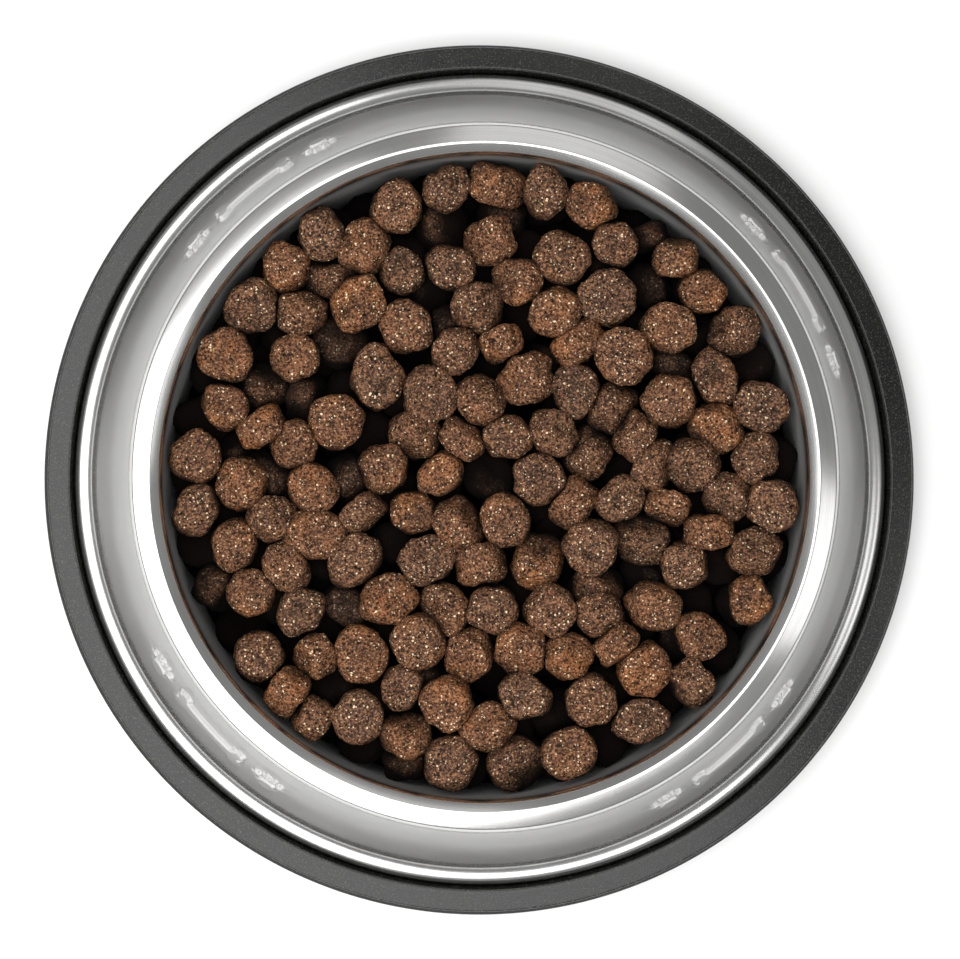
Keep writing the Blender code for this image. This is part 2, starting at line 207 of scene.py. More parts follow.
@dataclass(frozen=True)
class SteelFinish:
    """Satin stainless steel: a bright rim, a brushed skirt with fine turning lines and painted shade on its
    upper part, and a dull inner wall.
    """

    colour: Colour = (0.67, 0.665, 0.655)
    shade: Colour = (0.55, 0.545, 0.538)
    tone_range: Range = (0.35, 0.65)
    cloud: Grain = Grain(24.0, 4.0, 0.55)
    cloud_share: float = 0.6
    # Painted shade: a darker colour on the skirt's upper part, standing in for the dimmer reflection there.
    skirt_painted_shade: Colour = (0.44, 0.437, 0.431)
    skirt_painted_shade_radii: Range = (0.0952, 0.0962)
    skirt_painted_shade_heights: Range = (0.0400, 0.0600)
    skirt_painted_shade_share: float = 0.7
    rim_roughness: float = 0.18
    rim_heights: Range = (0.0620, 0.0665)
    skirt_roughness: float = 0.30
    foot_roughness: float = 0.24
    foot_heights: Range = (0.0160, 0.0240)
    wall_roughness: float = 0.50
    wall_radii: Range = (0.0864, 0.0880)
    wipe: Grain = Grain(216.0, 3.0, 0.6)
    wipe_change: float = 0.05
    lines: Grain = Grain(2600.0, 2.0, 0.7)
    line_depth: float = 0.0000010
    line_heights: Range = (0.0200, 0.0320)
    lowest_lines: float = 0.1

    def tint(self, graph: NodeGraph, tone: Value, radius: Value, height: Value) -> bpy.types.NodeSocket:
        """The metal's colour, with painted shade that darkens the skirt's upper part.

        Args:
            graph: the material's graph.
            tone: the cloudy change of tone, from 0 to 1.
            radius: the distance from the bowl's axis.
            height: the height above the floor.

        Returns:
            The colour.
        """
        upper = graph.ramp(height, *self.skirt_painted_shade_heights, 0.0, self.skirt_painted_shade_share)
        skirt_painted_shade = graph.math("MULTIPLY", upper, graph.ramp(radius, *self.skirt_painted_shade_radii))
        base = graph.mix(graph.ramp(tone, *self.tone_range), self.shade, self.colour)
        return graph.mix(skirt_painted_shade, base, self.skirt_painted_shade)

    def polish(self, graph: NodeGraph, wipe: Value, radius: Value, height: Value) -> bpy.types.NodeSocket:
        """The roughness, which differs between the rim, the skirt, its foot and the inner wall.

        Args:
            graph: the material's graph.
            wipe: the noise of the wiped surface.
            radius: the distance from the bowl's axis.
            height: the height above the floor.

        Returns:
            The roughness.
        """
        spread = graph.math("MULTIPLY", graph.math("SUBTRACT", wipe, 0.5), self.wipe_change)
        foot = graph.ramp(height, *self.foot_heights, self.foot_roughness, self.skirt_roughness)
        rim = graph.ramp(height, *self.rim_heights, 0.0, self.rim_roughness - self.skirt_roughness)
        wall = graph.ramp(radius, *self.wall_radii, self.wall_roughness - self.rim_roughness, 0.0)
        polish = graph.math("ADD", graph.math("ADD", foot, rim), wall)
        return graph.math("ADD", spread, polish)

    def build(self) -> bpy.types.Material:
        """Builds the material.

        Returns:
            The material.
        """
        graph = NodeGraph("satin_steel")
        place = graph.place()
        x, y, height = graph.add("SeparateXYZ", {"Vector": place}).outputs
        squares = graph.math("MULTIPLY", x, x), graph.math("MULTIPLY", y, y)
        radius = graph.math("SQRT", graph.math("ADD", *squares))
        turned = graph.add("CombineXYZ", {0: radius, 1: 0.0, 2: height}).outputs[0]
        lines = graph.grain(turned, self.lines)
        cloud = graph.math("MULTIPLY", graph.grain(place, self.cloud), self.cloud_share)
        tone = graph.math("ADD", cloud, graph.math("MULTIPLY", lines, 1 - self.cloud_share))
        graph.dress("Base Color", self.tint(graph, tone, radius, height))
        graph.dress("Roughness", self.polish(graph, graph.grain(turned, self.wipe), radius, height))
        graph.dress("Metallic", 1.0)
        depth = graph.ramp(height, *self.line_heights, self.lowest_lines, 1.0)
        graph.dress("Normal", graph.bump(graph.math("MULTIPLY", lines, depth), self.line_depth))
        return graph.material


@dataclass(frozen=True)
class RubberFinish:
    """Matte moulded rubber with a fine sandy grain and pale specks."""

    colour: Colour = (0.003, 0.0032, 0.0035)
    bloom: Colour = (0.010, 0.0102, 0.0085)
    speck: Colour = (0.085, 0.087, 0.070)
    grain: Grain = Grain(2100.0, 3.0, 0.65)
    patch: Grain = Grain(40.0, 4.0, 0.6)
    grain_bloom: Range = (0.36, 0.66)
    patch_bloom: Ramp = (0.30, 0.75, 0.0, 0.35)
    specks: Ramp = (0.54, 0.68, 0.0, 0.6)
    roughness: Ramp = (0.3, 0.7, 0.10, 0.28)
    grain_depth: float = 0.00009
    grain_strength: float = 0.7

    def build(self) -> bpy.types.Material:
        """Builds the material.

        Returns:
            The material.
        """
        graph = NodeGraph("moulded_rubber")
        place = graph.place()
        grain = graph.grain(place, self.grain)
        patch = graph.grain(place, self.patch)
        base = graph.mix(graph.ramp(grain, *self.grain_bloom), self.colour, self.bloom)
        base = graph.mix(graph.ramp(patch, *self.patch_bloom), base, self.bloom)
        base = graph.mix(graph.ramp(grain, *self.specks), base, self.speck)
        graph.dress("Base Color", base)
        graph.dress("Roughness", graph.ramp(grain, *self.roughness))
        graph.dress("Normal", graph.bump(grain, self.grain_depth, self.grain_strength))
        return graph.material


@dataclass(frozen=True)
class Spots:
    """Small scattered spots of one colour.

    scale is cells for each metre, size a spot's radius as a share of its cell, share the share of cells that
    have a spot, and cover how fully a spot hides what is under it. Past the solid share of its radius, a spot
    fades out.
    """

    colour: Colour
    scale: float
    size: float
    share: float
    cover: float
    solid: float = 0.6

    def mask(self, graph: NodeGraph, place: Value) -> bpy.types.NodeSocket:
        """Where the spots are.

        Args:
            graph: the material's graph.
            place: where the spots are read.

        Returns:
            1 inside a spot and 0 outside.
        """
        links = {"Vector": place, "Scale": self.scale, "Randomness": 1.0}
        voronoi = graph.add("TexVoronoi", links, feature="F1")
        spot = graph.ramp(voronoi.outputs["Distance"], self.size * self.solid, self.size, 1.0, 0.0)
        chosen = graph.add("SeparateColor", {"Color": voronoi.outputs["Color"]}).outputs[0]
        return graph.math("MULTIPLY", spot, graph.math("LESS_THAN", chosen, self.share))


@dataclass(frozen=True)
class FoodFinish:
    """Baked brown food: grainy and pitted, with pale crumb specks, a few coloured specks, painted sparkle
    highlights, and painted shade in small hollows and the gaps.
    """

    dark: Colour = (0.014, 0.007, 0.004)
    brown: Colour = (0.148, 0.064, 0.033)
    warm: Colour = (0.265, 0.100, 0.037)
    grey: Colour = (0.110, 0.058, 0.037)
    tan: Colour = (0.41, 0.200, 0.098)
    # Near black for the painted shade in the gaps and deep down between the pieces.
    painted_gap_shade: Colour = (0.003, 0.0015, 0.001)
    patch: Grain = Grain(95.0, 3.0, 0.55)
    lump: Grain = Grain(430.0, 4.0, 0.62)
    fine: Grain = Grain(1480.0, 3.0, 0.74)
    stir_scale: float = 1800.0
    stir_reach: float = 0.0005
    brown_tones: Range = (0.05, 0.95)
    warm_patches: Range = (0.44, 0.66)
    warm_tones: Ramp = (0.3, 1.0, 0.15, 0.95)
    dark_lumps: Ramp = (0.34, 0.54, 0.75, 0.0)
    dark_grain: Ramp = (0.40, 0.50, 0.90, 0.0)
    tan_grain: Ramp = (0.52, 0.61, 0.0, 0.68)
    flecks: Spots = Spots((0.27, 0.060, 0.035), 330.0, 0.16, 0.05, 0.6)
    # Small hollows in the bump, coloured near black as painted shade inside them.
    shaded_pits: Spots = Spots((0.003, 0.0015, 0.001), 700.0, 0.32, 0.30, 0.85)
    # Pale crumb specks as bright as sparkle: partly their own pale colour and partly painted highlight.
    crumbs_and_sparkle: Spots = Spots((0.97, 0.76, 0.50), 820.0, 0.29, 0.17, 0.85)
    # Painted highlights: tiny bright spots that stand in for sparkle of light on the pieces.
    painted_glints: Spots = Spots((0.97, 0.76, 0.50), 1450.0, 0.34, 0.18, 0.7)
    roughness: Ramp = (0.3, 0.7, 0.58, 0.34)
    dull_gaps: Ramp = (0.0, 0.7, 1.0, 0.0)
    gloss: float = 0.10
    grain_depth: float = 0.00045
    lump_depth: float = 0.0007
    pit_depth: float = 0.6
    bump_strength: float = 0.8
    tone_attribute: str = "tone"
    # This attribute holds how open each point lies; the finish paints shade where it is low.
    painted_shade_attribute: str = "open"

    def stirred(self, graph: NodeGraph, place: Value) -> bpy.types.NodeSocket:
        """Moves a place about with noise, so that the spots and the grain aren't even.

        Args:
            graph: the material's graph.
            place: the place.

        Returns:
            The moved place.
        """
        noisy = {"Vector": place, "Scale": self.stir_scale, "Detail": 1.0}
        stir = graph.add("TexNoise", noisy).outputs["Color"]
        moved = {0: stir, 1: (self.stir_reach,) * 3, 2: place}
        return graph.add("VectorMath", moved, operation="MULTIPLY_ADD").outputs[0]

    def crust(
        self, graph: NodeGraph, tone: Value, place: Value, lump: Value, fine: Value
    ) -> bpy.types.NodeSocket:
        """The colour of the crust, before the spots and the painted shade of the gaps.

        Args:
            graph: the material's graph.
            tone: the piece's own tone.
            place: the point's place, shifted for each piece.
            lump: the coarse noise.
            fine: the fine noise.

        Returns:
            The colour.
        """
        base = graph.mix(graph.ramp(tone, *self.brown_tones), self.grey, self.brown)
        patch = graph.ramp(graph.grain(place, self.patch), *self.warm_patches)
        warm = graph.math("MULTIPLY", patch, graph.ramp(tone, *self.warm_tones))
        base = graph.mix(warm, base, self.warm)
        base = graph.mix(graph.ramp(lump, *self.dark_lumps), base, self.dark)
        base = graph.mix(graph.ramp(fine, *self.dark_grain), base, self.dark)
        return graph.mix(graph.ramp(fine, *self.tan_grain), base, self.tan)

    def build(self) -> bpy.types.Material:
        """Builds the material.

        Returns:
            The material.
        """
        graph = NodeGraph("baked_food")
        tone = graph.add("Attribute", attribute_name=self.tone_attribute).outputs["Fac"]
        light = graph.add("Attribute", attribute_name=self.painted_shade_attribute).outputs["Fac"]
        shift = graph.add("CombineXYZ", {0: tone, 1: tone, 2: tone}).outputs[0]
        place = graph.add("VectorMath", {0: graph.place(), 1: shift}).outputs[0]
        stirred = self.stirred(graph, place)
        lump = graph.grain(place, self.lump)
        fine = graph.grain(stirred, self.fine)
        base = self.crust(graph, tone, place, lump, fine)
        shaded_pits = self.shaded_pits.mask(graph, stirred)
        layers = [(self.flecks, self.flecks.mask(graph, stirred)), (self.shaded_pits, shaded_pits)]
        layers += [(spots, spots.mask(graph, stirred)) for spots in (self.crumbs_and_sparkle, self.painted_glints)]
        for spots, mask in layers:
            base = graph.mix(graph.math("MULTIPLY", mask, spots.cover), base, spots.colour)
        # Painted shade: points in gaps and deep among the pieces are mixed towards near black.
        graph.dress("Base Color", graph.mix(graph.ramp(light, 0.0, 1.0), self.painted_gap_shade, base))
        rough = graph.ramp(lump, *self.roughness)
        graph.dress("Roughness", graph.math("MAXIMUM", rough, graph.ramp(light, *self.dull_gaps)))
        graph.dress("Specular IOR Level", self.gloss)
        hollow = graph.math("SUBTRACT", lump, graph.math("MULTIPLY", shaded_pits, self.pit_depth))
        coarse = graph.bump(hollow, self.lump_depth, self.bump_strength)
        graph.dress("Normal", graph.bump(fine, self.grain_depth, self.bump_strength, coarse))
        return graph.material


@dataclass(frozen=True)
class FloorFinish:
    """A plain pale studio floor."""

    colour: Colour = (0.94, 0.94, 0.935)
    mottle_colour: Colour = (0.92, 0.92, 0.915)
    mottle: Grain = Grain(3.0, 2.0, 0.5)
    mottle_range: Ramp = (0.3, 0.7, 0.0, 0.3)
    roughness: float = 0.85
    gloss: float = 0.1

    def build(self) -> bpy.types.Material:
        """Builds the material.

        Returns:
            The material.
        """
        graph = NodeGraph("pale_floor")
        mottle = graph.ramp(graph.grain(graph.place(), self.mottle), *self.mottle_range)
        graph.dress("Base Color", graph.mix(mottle, self.colour, self.mottle_colour))
        graph.dress("Roughness", self.roughness)
        graph.dress("Specular IOR Level", self.gloss)
        return graph.material


class Shape:
    """Mesh building that several pieces share."""

    ARC_STEPS: int = 4
    ARC_TURN: float = math.radians(6)
    JOIN_DISTANCE: float = 0.000002

    @staticmethod
    def arc(last: Vector, here: Vector, following: Vector, radius: float, spacing: float) -> list[Vector]:
        """Rounds a corner.

        Args:
            last: the corner before it.
            here: the corner.
            following: the corner after it.
            radius: the arc's radius.
            spacing: the longest step along the arc.

        Returns:
            The arc's points.
        """
        to_last = (last - here).normalized()
        to_next = (following - here).normalized()
        half = to_last.angle(to_next) / 2
        reach = radius / math.tan(half)
        start = here + to_last * reach
        centre = here + (to_last + to_next).normalized() * reach / math.cos(half)
        sweep = (start - centre).angle_signed(here + to_next * reach - centre)
        turns = math.ceil(abs(sweep) / Shape.ARC_TURN)
        steps = max(Shape.ARC_STEPS, turns, math.ceil(abs(sweep) * radius / spacing))
        turned = (Matrix.Rotation(-sweep * step / steps, 2) for step in range(steps + 1))
        return [centre + turn @ (start - centre) for turn in turned]

    @staticmethod
    def rounded(corners: Corners, spacing: float, closed: bool = False) -> Outline:
        """Draws an outline through corners, with each fillet as an arc and long runs divided.

        Args:
            corners: (radius, height, fillet) for each corner, in metres.
            spacing: the longest step along the outline.
            closed: whether the last corner joins the first.

        Returns:
            The outline's points.
        """
        places = [Vector(corner[:2]) for corner in corners]
        points: list[Vector] = []
        for i, (here, corner) in enumerate(zip(places, corners)):
            if corner[2] == 0 or (not closed and i in (0, len(corners) - 1)):
                points.append(here)
            else:
                following = places[(i + 1) % len(corners)]
                points.extend(Shape.arc(places[i - 1], here, following, corner[2], spacing))
        divided: Outline = []
        ends = points[1:] + points[:1] if closed else points[1:]
        for a, b in zip(points, ends):
            parts = max(1, math.ceil((b - a).length / spacing))
            divided.extend(tuple(a.lerp(b, k / parts)) for k in range(parts))
        if not closed:
            divided.append(tuple(points[-1]))
        return divided

    @staticmethod
    def revolve(outline: np.ndarray, angles: np.ndarray, closed: bool) -> tuple[np.ndarray, np.ndarray]:
        """Turns an outline about Z.

        Args:
            outline: (radius, height) rows.
            angles: the angles of the columns, all the way round.
            closed: whether the outline is a closed loop.

        Returns:
            The grid of points, columns by rows, and the faces as rows of four point numbers.
        """
        columns, rows = len(angles), len(outline)
        grid = np.empty((columns, rows, 3))
        grid[..., 0] = np.cos(angles)[:, None] * outline[None, :, 0]
        grid[..., 1] = np.sin(angles)[:, None] * outline[None, :, 0]
        grid[..., 2] = outline[None, :, 1]
        last = rows if closed else rows - 1
        c, r = np.meshgrid(np.arange(columns), np.arange(last), indexing="ij")
        c2, r2 = (c + 1) % columns, (r + 1) % rows
        faces = np.stack((c * rows + r, c * rows + r2, c2 * rows + r2, c2 * rows + r), axis=-1)
        return grid, faces.reshape(-1, 4)

    @staticmethod
    def mesh(name: str, points: np.ndarray, faces: np.ndarray) -> bpy.types.Mesh:
        """Makes a smooth mesh with consistent outward faces.

        Args:
            name: the mesh's name.
            points: (x, y, z) rows.
            faces: rows of point numbers.

        Returns:
            The mesh, with points that coincide joined.
        """
        mesh = bpy.data.meshes.new(name)
        mesh.from_pydata(points.reshape(-1, 3).tolist(), [], faces.tolist())
        work = bmesh.new()
        work.from_mesh(mesh)
        bmesh.ops.remove_doubles(work, verts=work.verts, dist=Shape.JOIN_DISTANCE)
        bmesh.ops.recalc_face_normals(work, faces=work.faces)
        work.to_mesh(mesh)
        work.free()
        mesh.shade_smooth()
        return mesh

    @staticmethod
    def piece(
        mesh: bpy.types.Mesh, material: bpy.types.Material, slot: Slot, *nodes: str
    ) -> bpy.types.Object:
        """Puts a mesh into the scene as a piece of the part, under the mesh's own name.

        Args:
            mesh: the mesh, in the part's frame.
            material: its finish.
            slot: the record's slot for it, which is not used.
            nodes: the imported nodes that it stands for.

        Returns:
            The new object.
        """
        mesh.materials.append(material)
        made = bpy.data.objects.new(mesh.name, mesh)
        bpy.context.scene.collection.objects.link(made)
        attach(made, "root")
        if nodes:
            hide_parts(*nodes)
        return made


@dataclass
class BowlSizes:
    """The steel bowl's sizes, which the ring and the food take theirs from.

    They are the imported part's own sizes. Heights are above the floor that the bowl stands on.
    """

    sheet: float = 0.0008
    height: float = 0.070
    mouth_radius: float = 0.0904
    floor_height: float = 0.0075
    wall_draft: float = math.radians(3)
    floor_fillet: float = 0.015
    lip_width: float = 0.0030
    lip_fall: float = 0.0022
    lip_fillet: float = 0.0028
    rim_width: float = 0.0050
    rim_fall: float = 0.0021
    rim_inner_fillet: float = 0.0009
    rim_outer_fillet: float = 0.0012
    skirt_spread: float = 0.0146
    flange_width: float = 0.0055
    flange_fall: float = 0.0013
    flange_inner_fillet: float = 0.0044
    flange_outer_fillet: float = 0.0034
    edge_height: float = 0.0030
    ring_height: float = 0.0142
    flange_below_ring: float = 0.0010

    @property
    def wall_top(self) -> tuple[float, float]:
        """Where the inner wall's slope meets the rim's lip, as radius and height."""
        return self.mouth_radius - self.lip_width, self.height - self.lip_fall

    def wall_radius(self, height: float) -> float:
        """The inner wall's radius at a height."""
        top_radius, top_height = self.wall_top
        return top_radius - (top_height - height) * math.tan(self.wall_draft)

    @property
    def rim_radius(self) -> float:
        """Where the rim ends and the skirt starts."""
        return self.mouth_radius + self.rim_width

    @property
    def skirt_foot(self) -> tuple[float, float]:
        """Where the skirt's slope would meet the flange, as radius and height."""
        height = self.ring_height - self.flange_below_ring + self.flange_fall
        return self.rim_radius + self.skirt_spread, height

    @property
    def edge_radius(self) -> float:
        """The radius of the turned-down edge."""
        return self.rim_radius + self.skirt_spread + self.flange_width


@dataclass
class Ornament:
    """The pressed relief: a bone with a paw print on each side, laid out flat and wrapped on the skirt."""

    angles: tuple[float, ...] = tuple(math.radians(a) for a in (30.7, 128.4, 222.4, 312.0))
    rise: float = 0.0008
    stretch: float = 1.8
    shoulder: float = 0.00042
    gap: float = 0.0042
    bone_length: float = 0.0260
    knob_radius: float = 0.0022
    knob_spread: float = 0.0018
    bar_width: float = 0.0034
    pad_radius: float = 0.0026
    pad_stretch: Range = (1.12, 0.92)
    toe_radius: float = 0.0011
    toe_reach: float = 0.0044
    toe_angles: tuple[float, ...] = tuple(math.radians(a) for a in (36, 72, 108, 144))
    line_width: float = 0.00045
    line_depth: float = 0.00034
    margin: float = 0.0006

    @property
    def half_length(self) -> float:
        """Half the whole relief's length."""
        return self.bone_length / 2 + self.gap + 2 * self.half_paw

    @property
    def half_height(self) -> float:
        """Half the whole relief's height."""
        return (self.knob_spread + self.knob_radius + self.shoulder + self.margin) * self.stretch

    @property
    def half_paw(self) -> float:
        """Half a paw print's width."""
        return self.toe_reach * math.cos(self.toe_angles[0]) + self.toe_radius

    def distance(self, along: np.ndarray, up: np.ndarray) -> np.ndarray:
        """Measures how far places are outside the raised shapes.

        Args:
            along: the places' distances along the skirt from the relief's middle.
            up: their distances up the skirt's slope from it, before the relief is stretched.

        Returns:
            The distances in metres, negative inside.
        """
        half_bar = self.bone_length / 2 - self.knob_radius
        found = np.maximum(np.abs(along) - half_bar, np.abs(up) - self.bar_width / 2)
        wide, tall = self.pad_stretch
        drop = (self.toe_reach + self.toe_radius - self.pad_radius) / 2
        for side in (-1, 1):
            for lift in (-self.knob_spread, self.knob_spread):
                found = np.minimum(found, np.hypot(along - side * half_bar, up - lift) - self.knob_radius)
            middle = side * (self.bone_length / 2 + self.gap + self.half_paw)
            pad = np.hypot((along - middle) / wide, (up + drop) / tall) - self.pad_radius
            found = np.minimum(found, pad)
            for turn in self.toe_angles:
                across = along - middle - self.toe_reach * math.cos(turn)
                above = up + drop - self.toe_reach * math.sin(turn)
                found = np.minimum(found, np.hypot(across, above) - self.toe_radius)
        return found

    def height(self, along: np.ndarray, up: np.ndarray) -> np.ndarray:
        """Finds the relief's height, with a fine groove pressed round each shape.

        Args:
            along: the places' distances along the skirt from the relief's middle.
            up: their distances up the skirt's slope from it.

        Returns:
            The heights in metres.
        """
        distance = self.distance(along, up / self.stretch)
        share = np.clip(0.5 - distance / self.shoulder, 0, 1)
        raised = self.rise * share * share * (3 - 2 * share)
        groove = np.exp(-(((distance - self.shoulder) / self.line_width) ** 2))
        return raised - self.line_depth * groove


@dataclass
class SteelBowl:
    """The pressed steel bowl, with the relief on its skirt and a fine crease below its rim."""

    sizes: BowlSizes
    ornament: Ornament = field(default_factory=Ornament)
    finish: SteelFinish = field(default_factory=SteelFinish)

    # How finely the mesh is divided.
    coarse_step: float = math.radians(1.8)
    fine_step: float = 0.00046
    row_step: float = 0.0120
    hidden_step: float = 0.0018
    closest_rows: float = 0.00009
    relief_margin: float = 0.001
    slope_tolerance: float = 0.00005

    # The crease, with its place as a share of the rim's outer fillet.
    crease_depth: float = 0.00022
    crease_width: float = 0.00035
    crease_place: float = 1.1
    crease_reach: float = 0.0022
    crease_step: float = 0.00016

    def upper_corners(self) -> Corners:
        """Lists the corners of the sheet's visible side.

        Returns:
            The corners, from the middle of the floor to the turned-down edge.
        """
        s = self.sizes
        foot_radius, foot_height = s.skirt_foot
        return [
            (0.0, s.floor_height, 0.0),
            (s.wall_radius(s.floor_height), s.floor_height, s.floor_fillet),
            (*s.wall_top, s.lip_fillet),
            (s.mouth_radius, s.height, s.rim_inner_fillet),
            (s.rim_radius, s.height - s.rim_fall, s.rim_outer_fillet),
            (foot_radius, foot_height, s.flange_inner_fillet),
            (s.edge_radius, foot_height - s.flange_fall, s.flange_outer_fillet),
            (s.edge_radius, s.edge_height, 0.0),
        ]

    def columns(self) -> np.ndarray:
        """Spaces the mesh's columns, close together at the relief and wide apart elsewhere.

        Returns:
            The columns' angles.
        """
        radius = self.sizes.rim_radius + self.sizes.skirt_spread / 2
        half = (self.ornament.half_length + self.relief_margin) / radius
        fine = math.ceil(2 * half * radius / self.fine_step)
        middles = self.ornament.angles
        angles: list[float] = []
        for middle, following in zip(middles, (*middles[1:], middles[0] + math.tau)):
            angles.extend(middle - half + 2 * half * k / fine for k in range(fine))
            start, end = middle + half, following - half
            wide = math.ceil((end - start) / self.coarse_step)
            angles.extend(start + (end - start) * k / wide for k in range(wide))
        return np.array(angles)

    def outline(self) -> tuple[np.ndarray, int]:
        """Draws the sheet's section.

        Returns:
            The section's points, and how many of them are on the visible side.
        """
        upper = np.array(Shape.rounded(self.upper_corners(), self.row_step))
        upper = self.with_fine_rows(upper)
        step = np.gradient(upper, axis=0)
        length = np.hypot(step[:, 0], step[:, 1])[:, None]
        inwards = np.stack((step[:, 1], -step[:, 0]), axis=1) / length
        lower = upper + inwards * self.sizes.sheet
        lower[0] = (0.0, upper[0, 1] - self.sizes.sheet)
        keep = self.sparse(lower, self.hidden_step)
        return np.concatenate((upper, lower[keep][::-1])), len(upper)

    def with_fine_rows(self, upper: np.ndarray) -> np.ndarray:
        """Adds fine rows to the skirt's middle, where the relief is, and to the crease below the rim.

        Args:
            upper: the visible side's points.

        Returns:
            The points with the fine rows among them, in order.
        """
        s = self.sizes
        top, foot = self.slope_ends()
        slope = np.linalg.norm(top - foot)
        half = self.ornament.half_height
        relief = np.arange(-half, half, self.fine_step * self.ornament.stretch) + slope / 2
        crease = np.arange(s.rim_outer_fillet, s.rim_outer_fillet + self.crease_reach, self.crease_step)
        shares = np.concatenate((crease, relief)) / slope
        rows = top + (foot - top) * shares[:, None]
        travelled = np.cumsum(np.hypot(*np.diff(upper, axis=0, prepend=upper[:1]).T))
        first = int(np.argmax((upper[:, 0] > s.rim_radius) & (upper[:, 0] < s.skirt_foot[0])))
        base = travelled[first] - np.linalg.norm(upper[first] - top)
        order = np.concatenate((travelled, base + shares * slope))
        arranged = np.concatenate((upper, rows))[np.argsort(order, kind="stable")]
        apart = np.hypot(*np.diff(arranged, axis=0, prepend=arranged[:1] - 1).T)
        return arranged[apart > self.closest_rows]

    @staticmethod
    def sparse(points: np.ndarray, spacing: float) -> np.ndarray:
        """Thins out a row of points, with both ends kept.

        Args:
            points: the points.
            spacing: the least distance between two that are kept.

        Returns:
            The numbers of the points that are kept.
        """
        kept = [0]
        for i in range(1, len(points) - 1):
            if np.linalg.norm(points[i] - points[kept[-1]]) >= spacing:
                kept.append(i)
        return np.array(kept + [len(points) - 1])

    def slope_ends(self) -> tuple[np.ndarray, np.ndarray]:
        """The corners at the top and the foot of the skirt's slope."""
        s = self.sizes
        return np.array((s.rim_radius, s.height - s.rim_fall)), np.array(s.skirt_foot)

    def press(self, grid: np.ndarray, angles: np.ndarray, visible: int) -> None:
        """Moves the visible side's points out for the relief, and in for the crease.

        Args:
            grid: the points, columns by rows, changed in place.
            angles: the columns' angles.
            visible: how many rows are on the visible side.
        """
        top, foot = self.slope_ends()
        slope = (top - foot) / np.linalg.norm(top - foot)
        outwards = np.array((slope[1], -slope[0]))
        middle = (top + foot) / 2
        radius = np.hypot(grid[0, :visible, 0], grid[0, :visible, 1])
        flat = np.stack((radius, grid[0, :visible, 2]), axis=1)
        up = (flat - middle) @ slope
        on_slope = np.abs((flat - middle) @ outwards) < self.slope_tolerance
        on_slope &= np.abs(up) < np.linalg.norm(top - foot) / 2
        lift = np.zeros((len(angles), visible))
        for angle in self.ornament.angles:
            turn = (angles - angle + math.pi) % math.tau - math.pi
            along = turn[:, None] * middle[0]
            near = np.abs(along) < self.ornament.half_length + self.relief_margin
            lift += np.where(near, self.ornament.height(along, up[None]), 0.0)
        lift *= on_slope[None]
        from_crease = np.linalg.norm(flat - top, axis=1) - self.sizes.rim_outer_fillet * self.crease_place
        crease = np.exp(-((from_crease / self.crease_width) ** 2))
        lift -= self.crease_depth * (crease * on_slope)[None]
        grid[:, :visible, 0] += lift * outwards[0] * np.cos(angles)[:, None]
        grid[:, :visible, 1] += lift * outwards[0] * np.sin(angles)[:, None]
        grid[:, :visible, 2] += lift * outwards[1]

    def build(self) -> list[bpy.types.Object]:
        """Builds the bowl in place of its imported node.

        Returns:
            The piece.
        """
        outline, visible = self.outline()
        angles = self.columns()
        grid, faces = Shape.revolve(outline, angles, closed=False)
        self.press(grid, angles, visible)
        mesh = Shape.mesh("steel_bowl", grid, faces)
        return [Shape.piece(mesh, self.finish.build(), Slot.STEEL, "bowl_shell")]


@dataclass
class RubberRing:
    """The rubber foot ring, with a groove for the bowl's edge and a thin lip round its outside."""

    bowl: BowlSizes
    finish: RubberFinish = field(default_factory=RubberFinish)
    reach: float = 0.0092
    top_fall: float = 0.0017
    lip_width: float = 0.0020
    lip_height: float = 0.0022
    lip_fall: float = 0.0014
    line_width: float = 0.0005
    line_depth: float = 0.0010
    inner_width: float = 0.0040
    inner_height: float = 0.0090
    groove_gap: float = 0.0003
    mouth_gap: float = 0.0010
    mouth_depth: float = 0.0030
    mouth_fillet: float = 0.0008
    edge_fillet: float = 0.0006
    line_fillet: float = 0.0001
    lip_fillet: float = 0.0003
    foot_fillet: float = 0.0002
    step: float = 0.0008
    columns: int = 288

    def corners(self) -> Corners:
        """Lists the corners of the ring's section.

        Returns:
            The corners, round from the groove's floor.
        """
        groove_out = self.bowl.edge_radius + self.groove_gap
        groove_in = self.bowl.edge_radius - self.bowl.sheet - self.groove_gap
        groove_floor = self.bowl.edge_height - self.groove_gap
        foot = groove_out + self.reach
        top = self.bowl.ring_height
        inner = groove_in - self.inner_width
        shoulder = foot - self.lip_width
        return [
            (groove_out, groove_floor, 0.0),
            (groove_out, top - self.mouth_depth, self.mouth_fillet),
            (groove_out + self.mouth_gap, top, self.edge_fillet),
            (shoulder, top - self.top_fall, self.edge_fillet),
            (shoulder, self.lip_height - self.line_depth, 0.0),
            (shoulder + self.line_width, self.lip_height, self.line_fillet),
            (foot, self.lip_height - self.lip_fall, self.lip_fillet),
            (foot, 0.0, self.foot_fillet),
            (inner, 0.0, self.edge_fillet),
            (inner, self.inner_height, self.edge_fillet),
            (groove_in, self.inner_height, self.edge_fillet),
            (groove_in, groove_floor, 0.0),
        ]

    def build(self) -> list[bpy.types.Object]:
        """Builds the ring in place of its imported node.

        Returns:
            The piece.
        """
        outline = np.array(Shape.rounded(self.corners(), self.step, closed=True))
        angles = np.linspace(0, math.tau, self.columns, endpoint=False)
        grid, faces = Shape.revolve(outline, angles, closed=True)
        mesh = Shape.mesh("foot_ring", grid, faces)
        return [Shape.piece(mesh, self.finish.build(), Slot.RUBBER, "rubber_ring")]


class Rank(Enum):
    """How a food piece lies in the bowl."""

    LOOSE = "loose"
    HEAPED = "heaped"
    UNDER = "under"


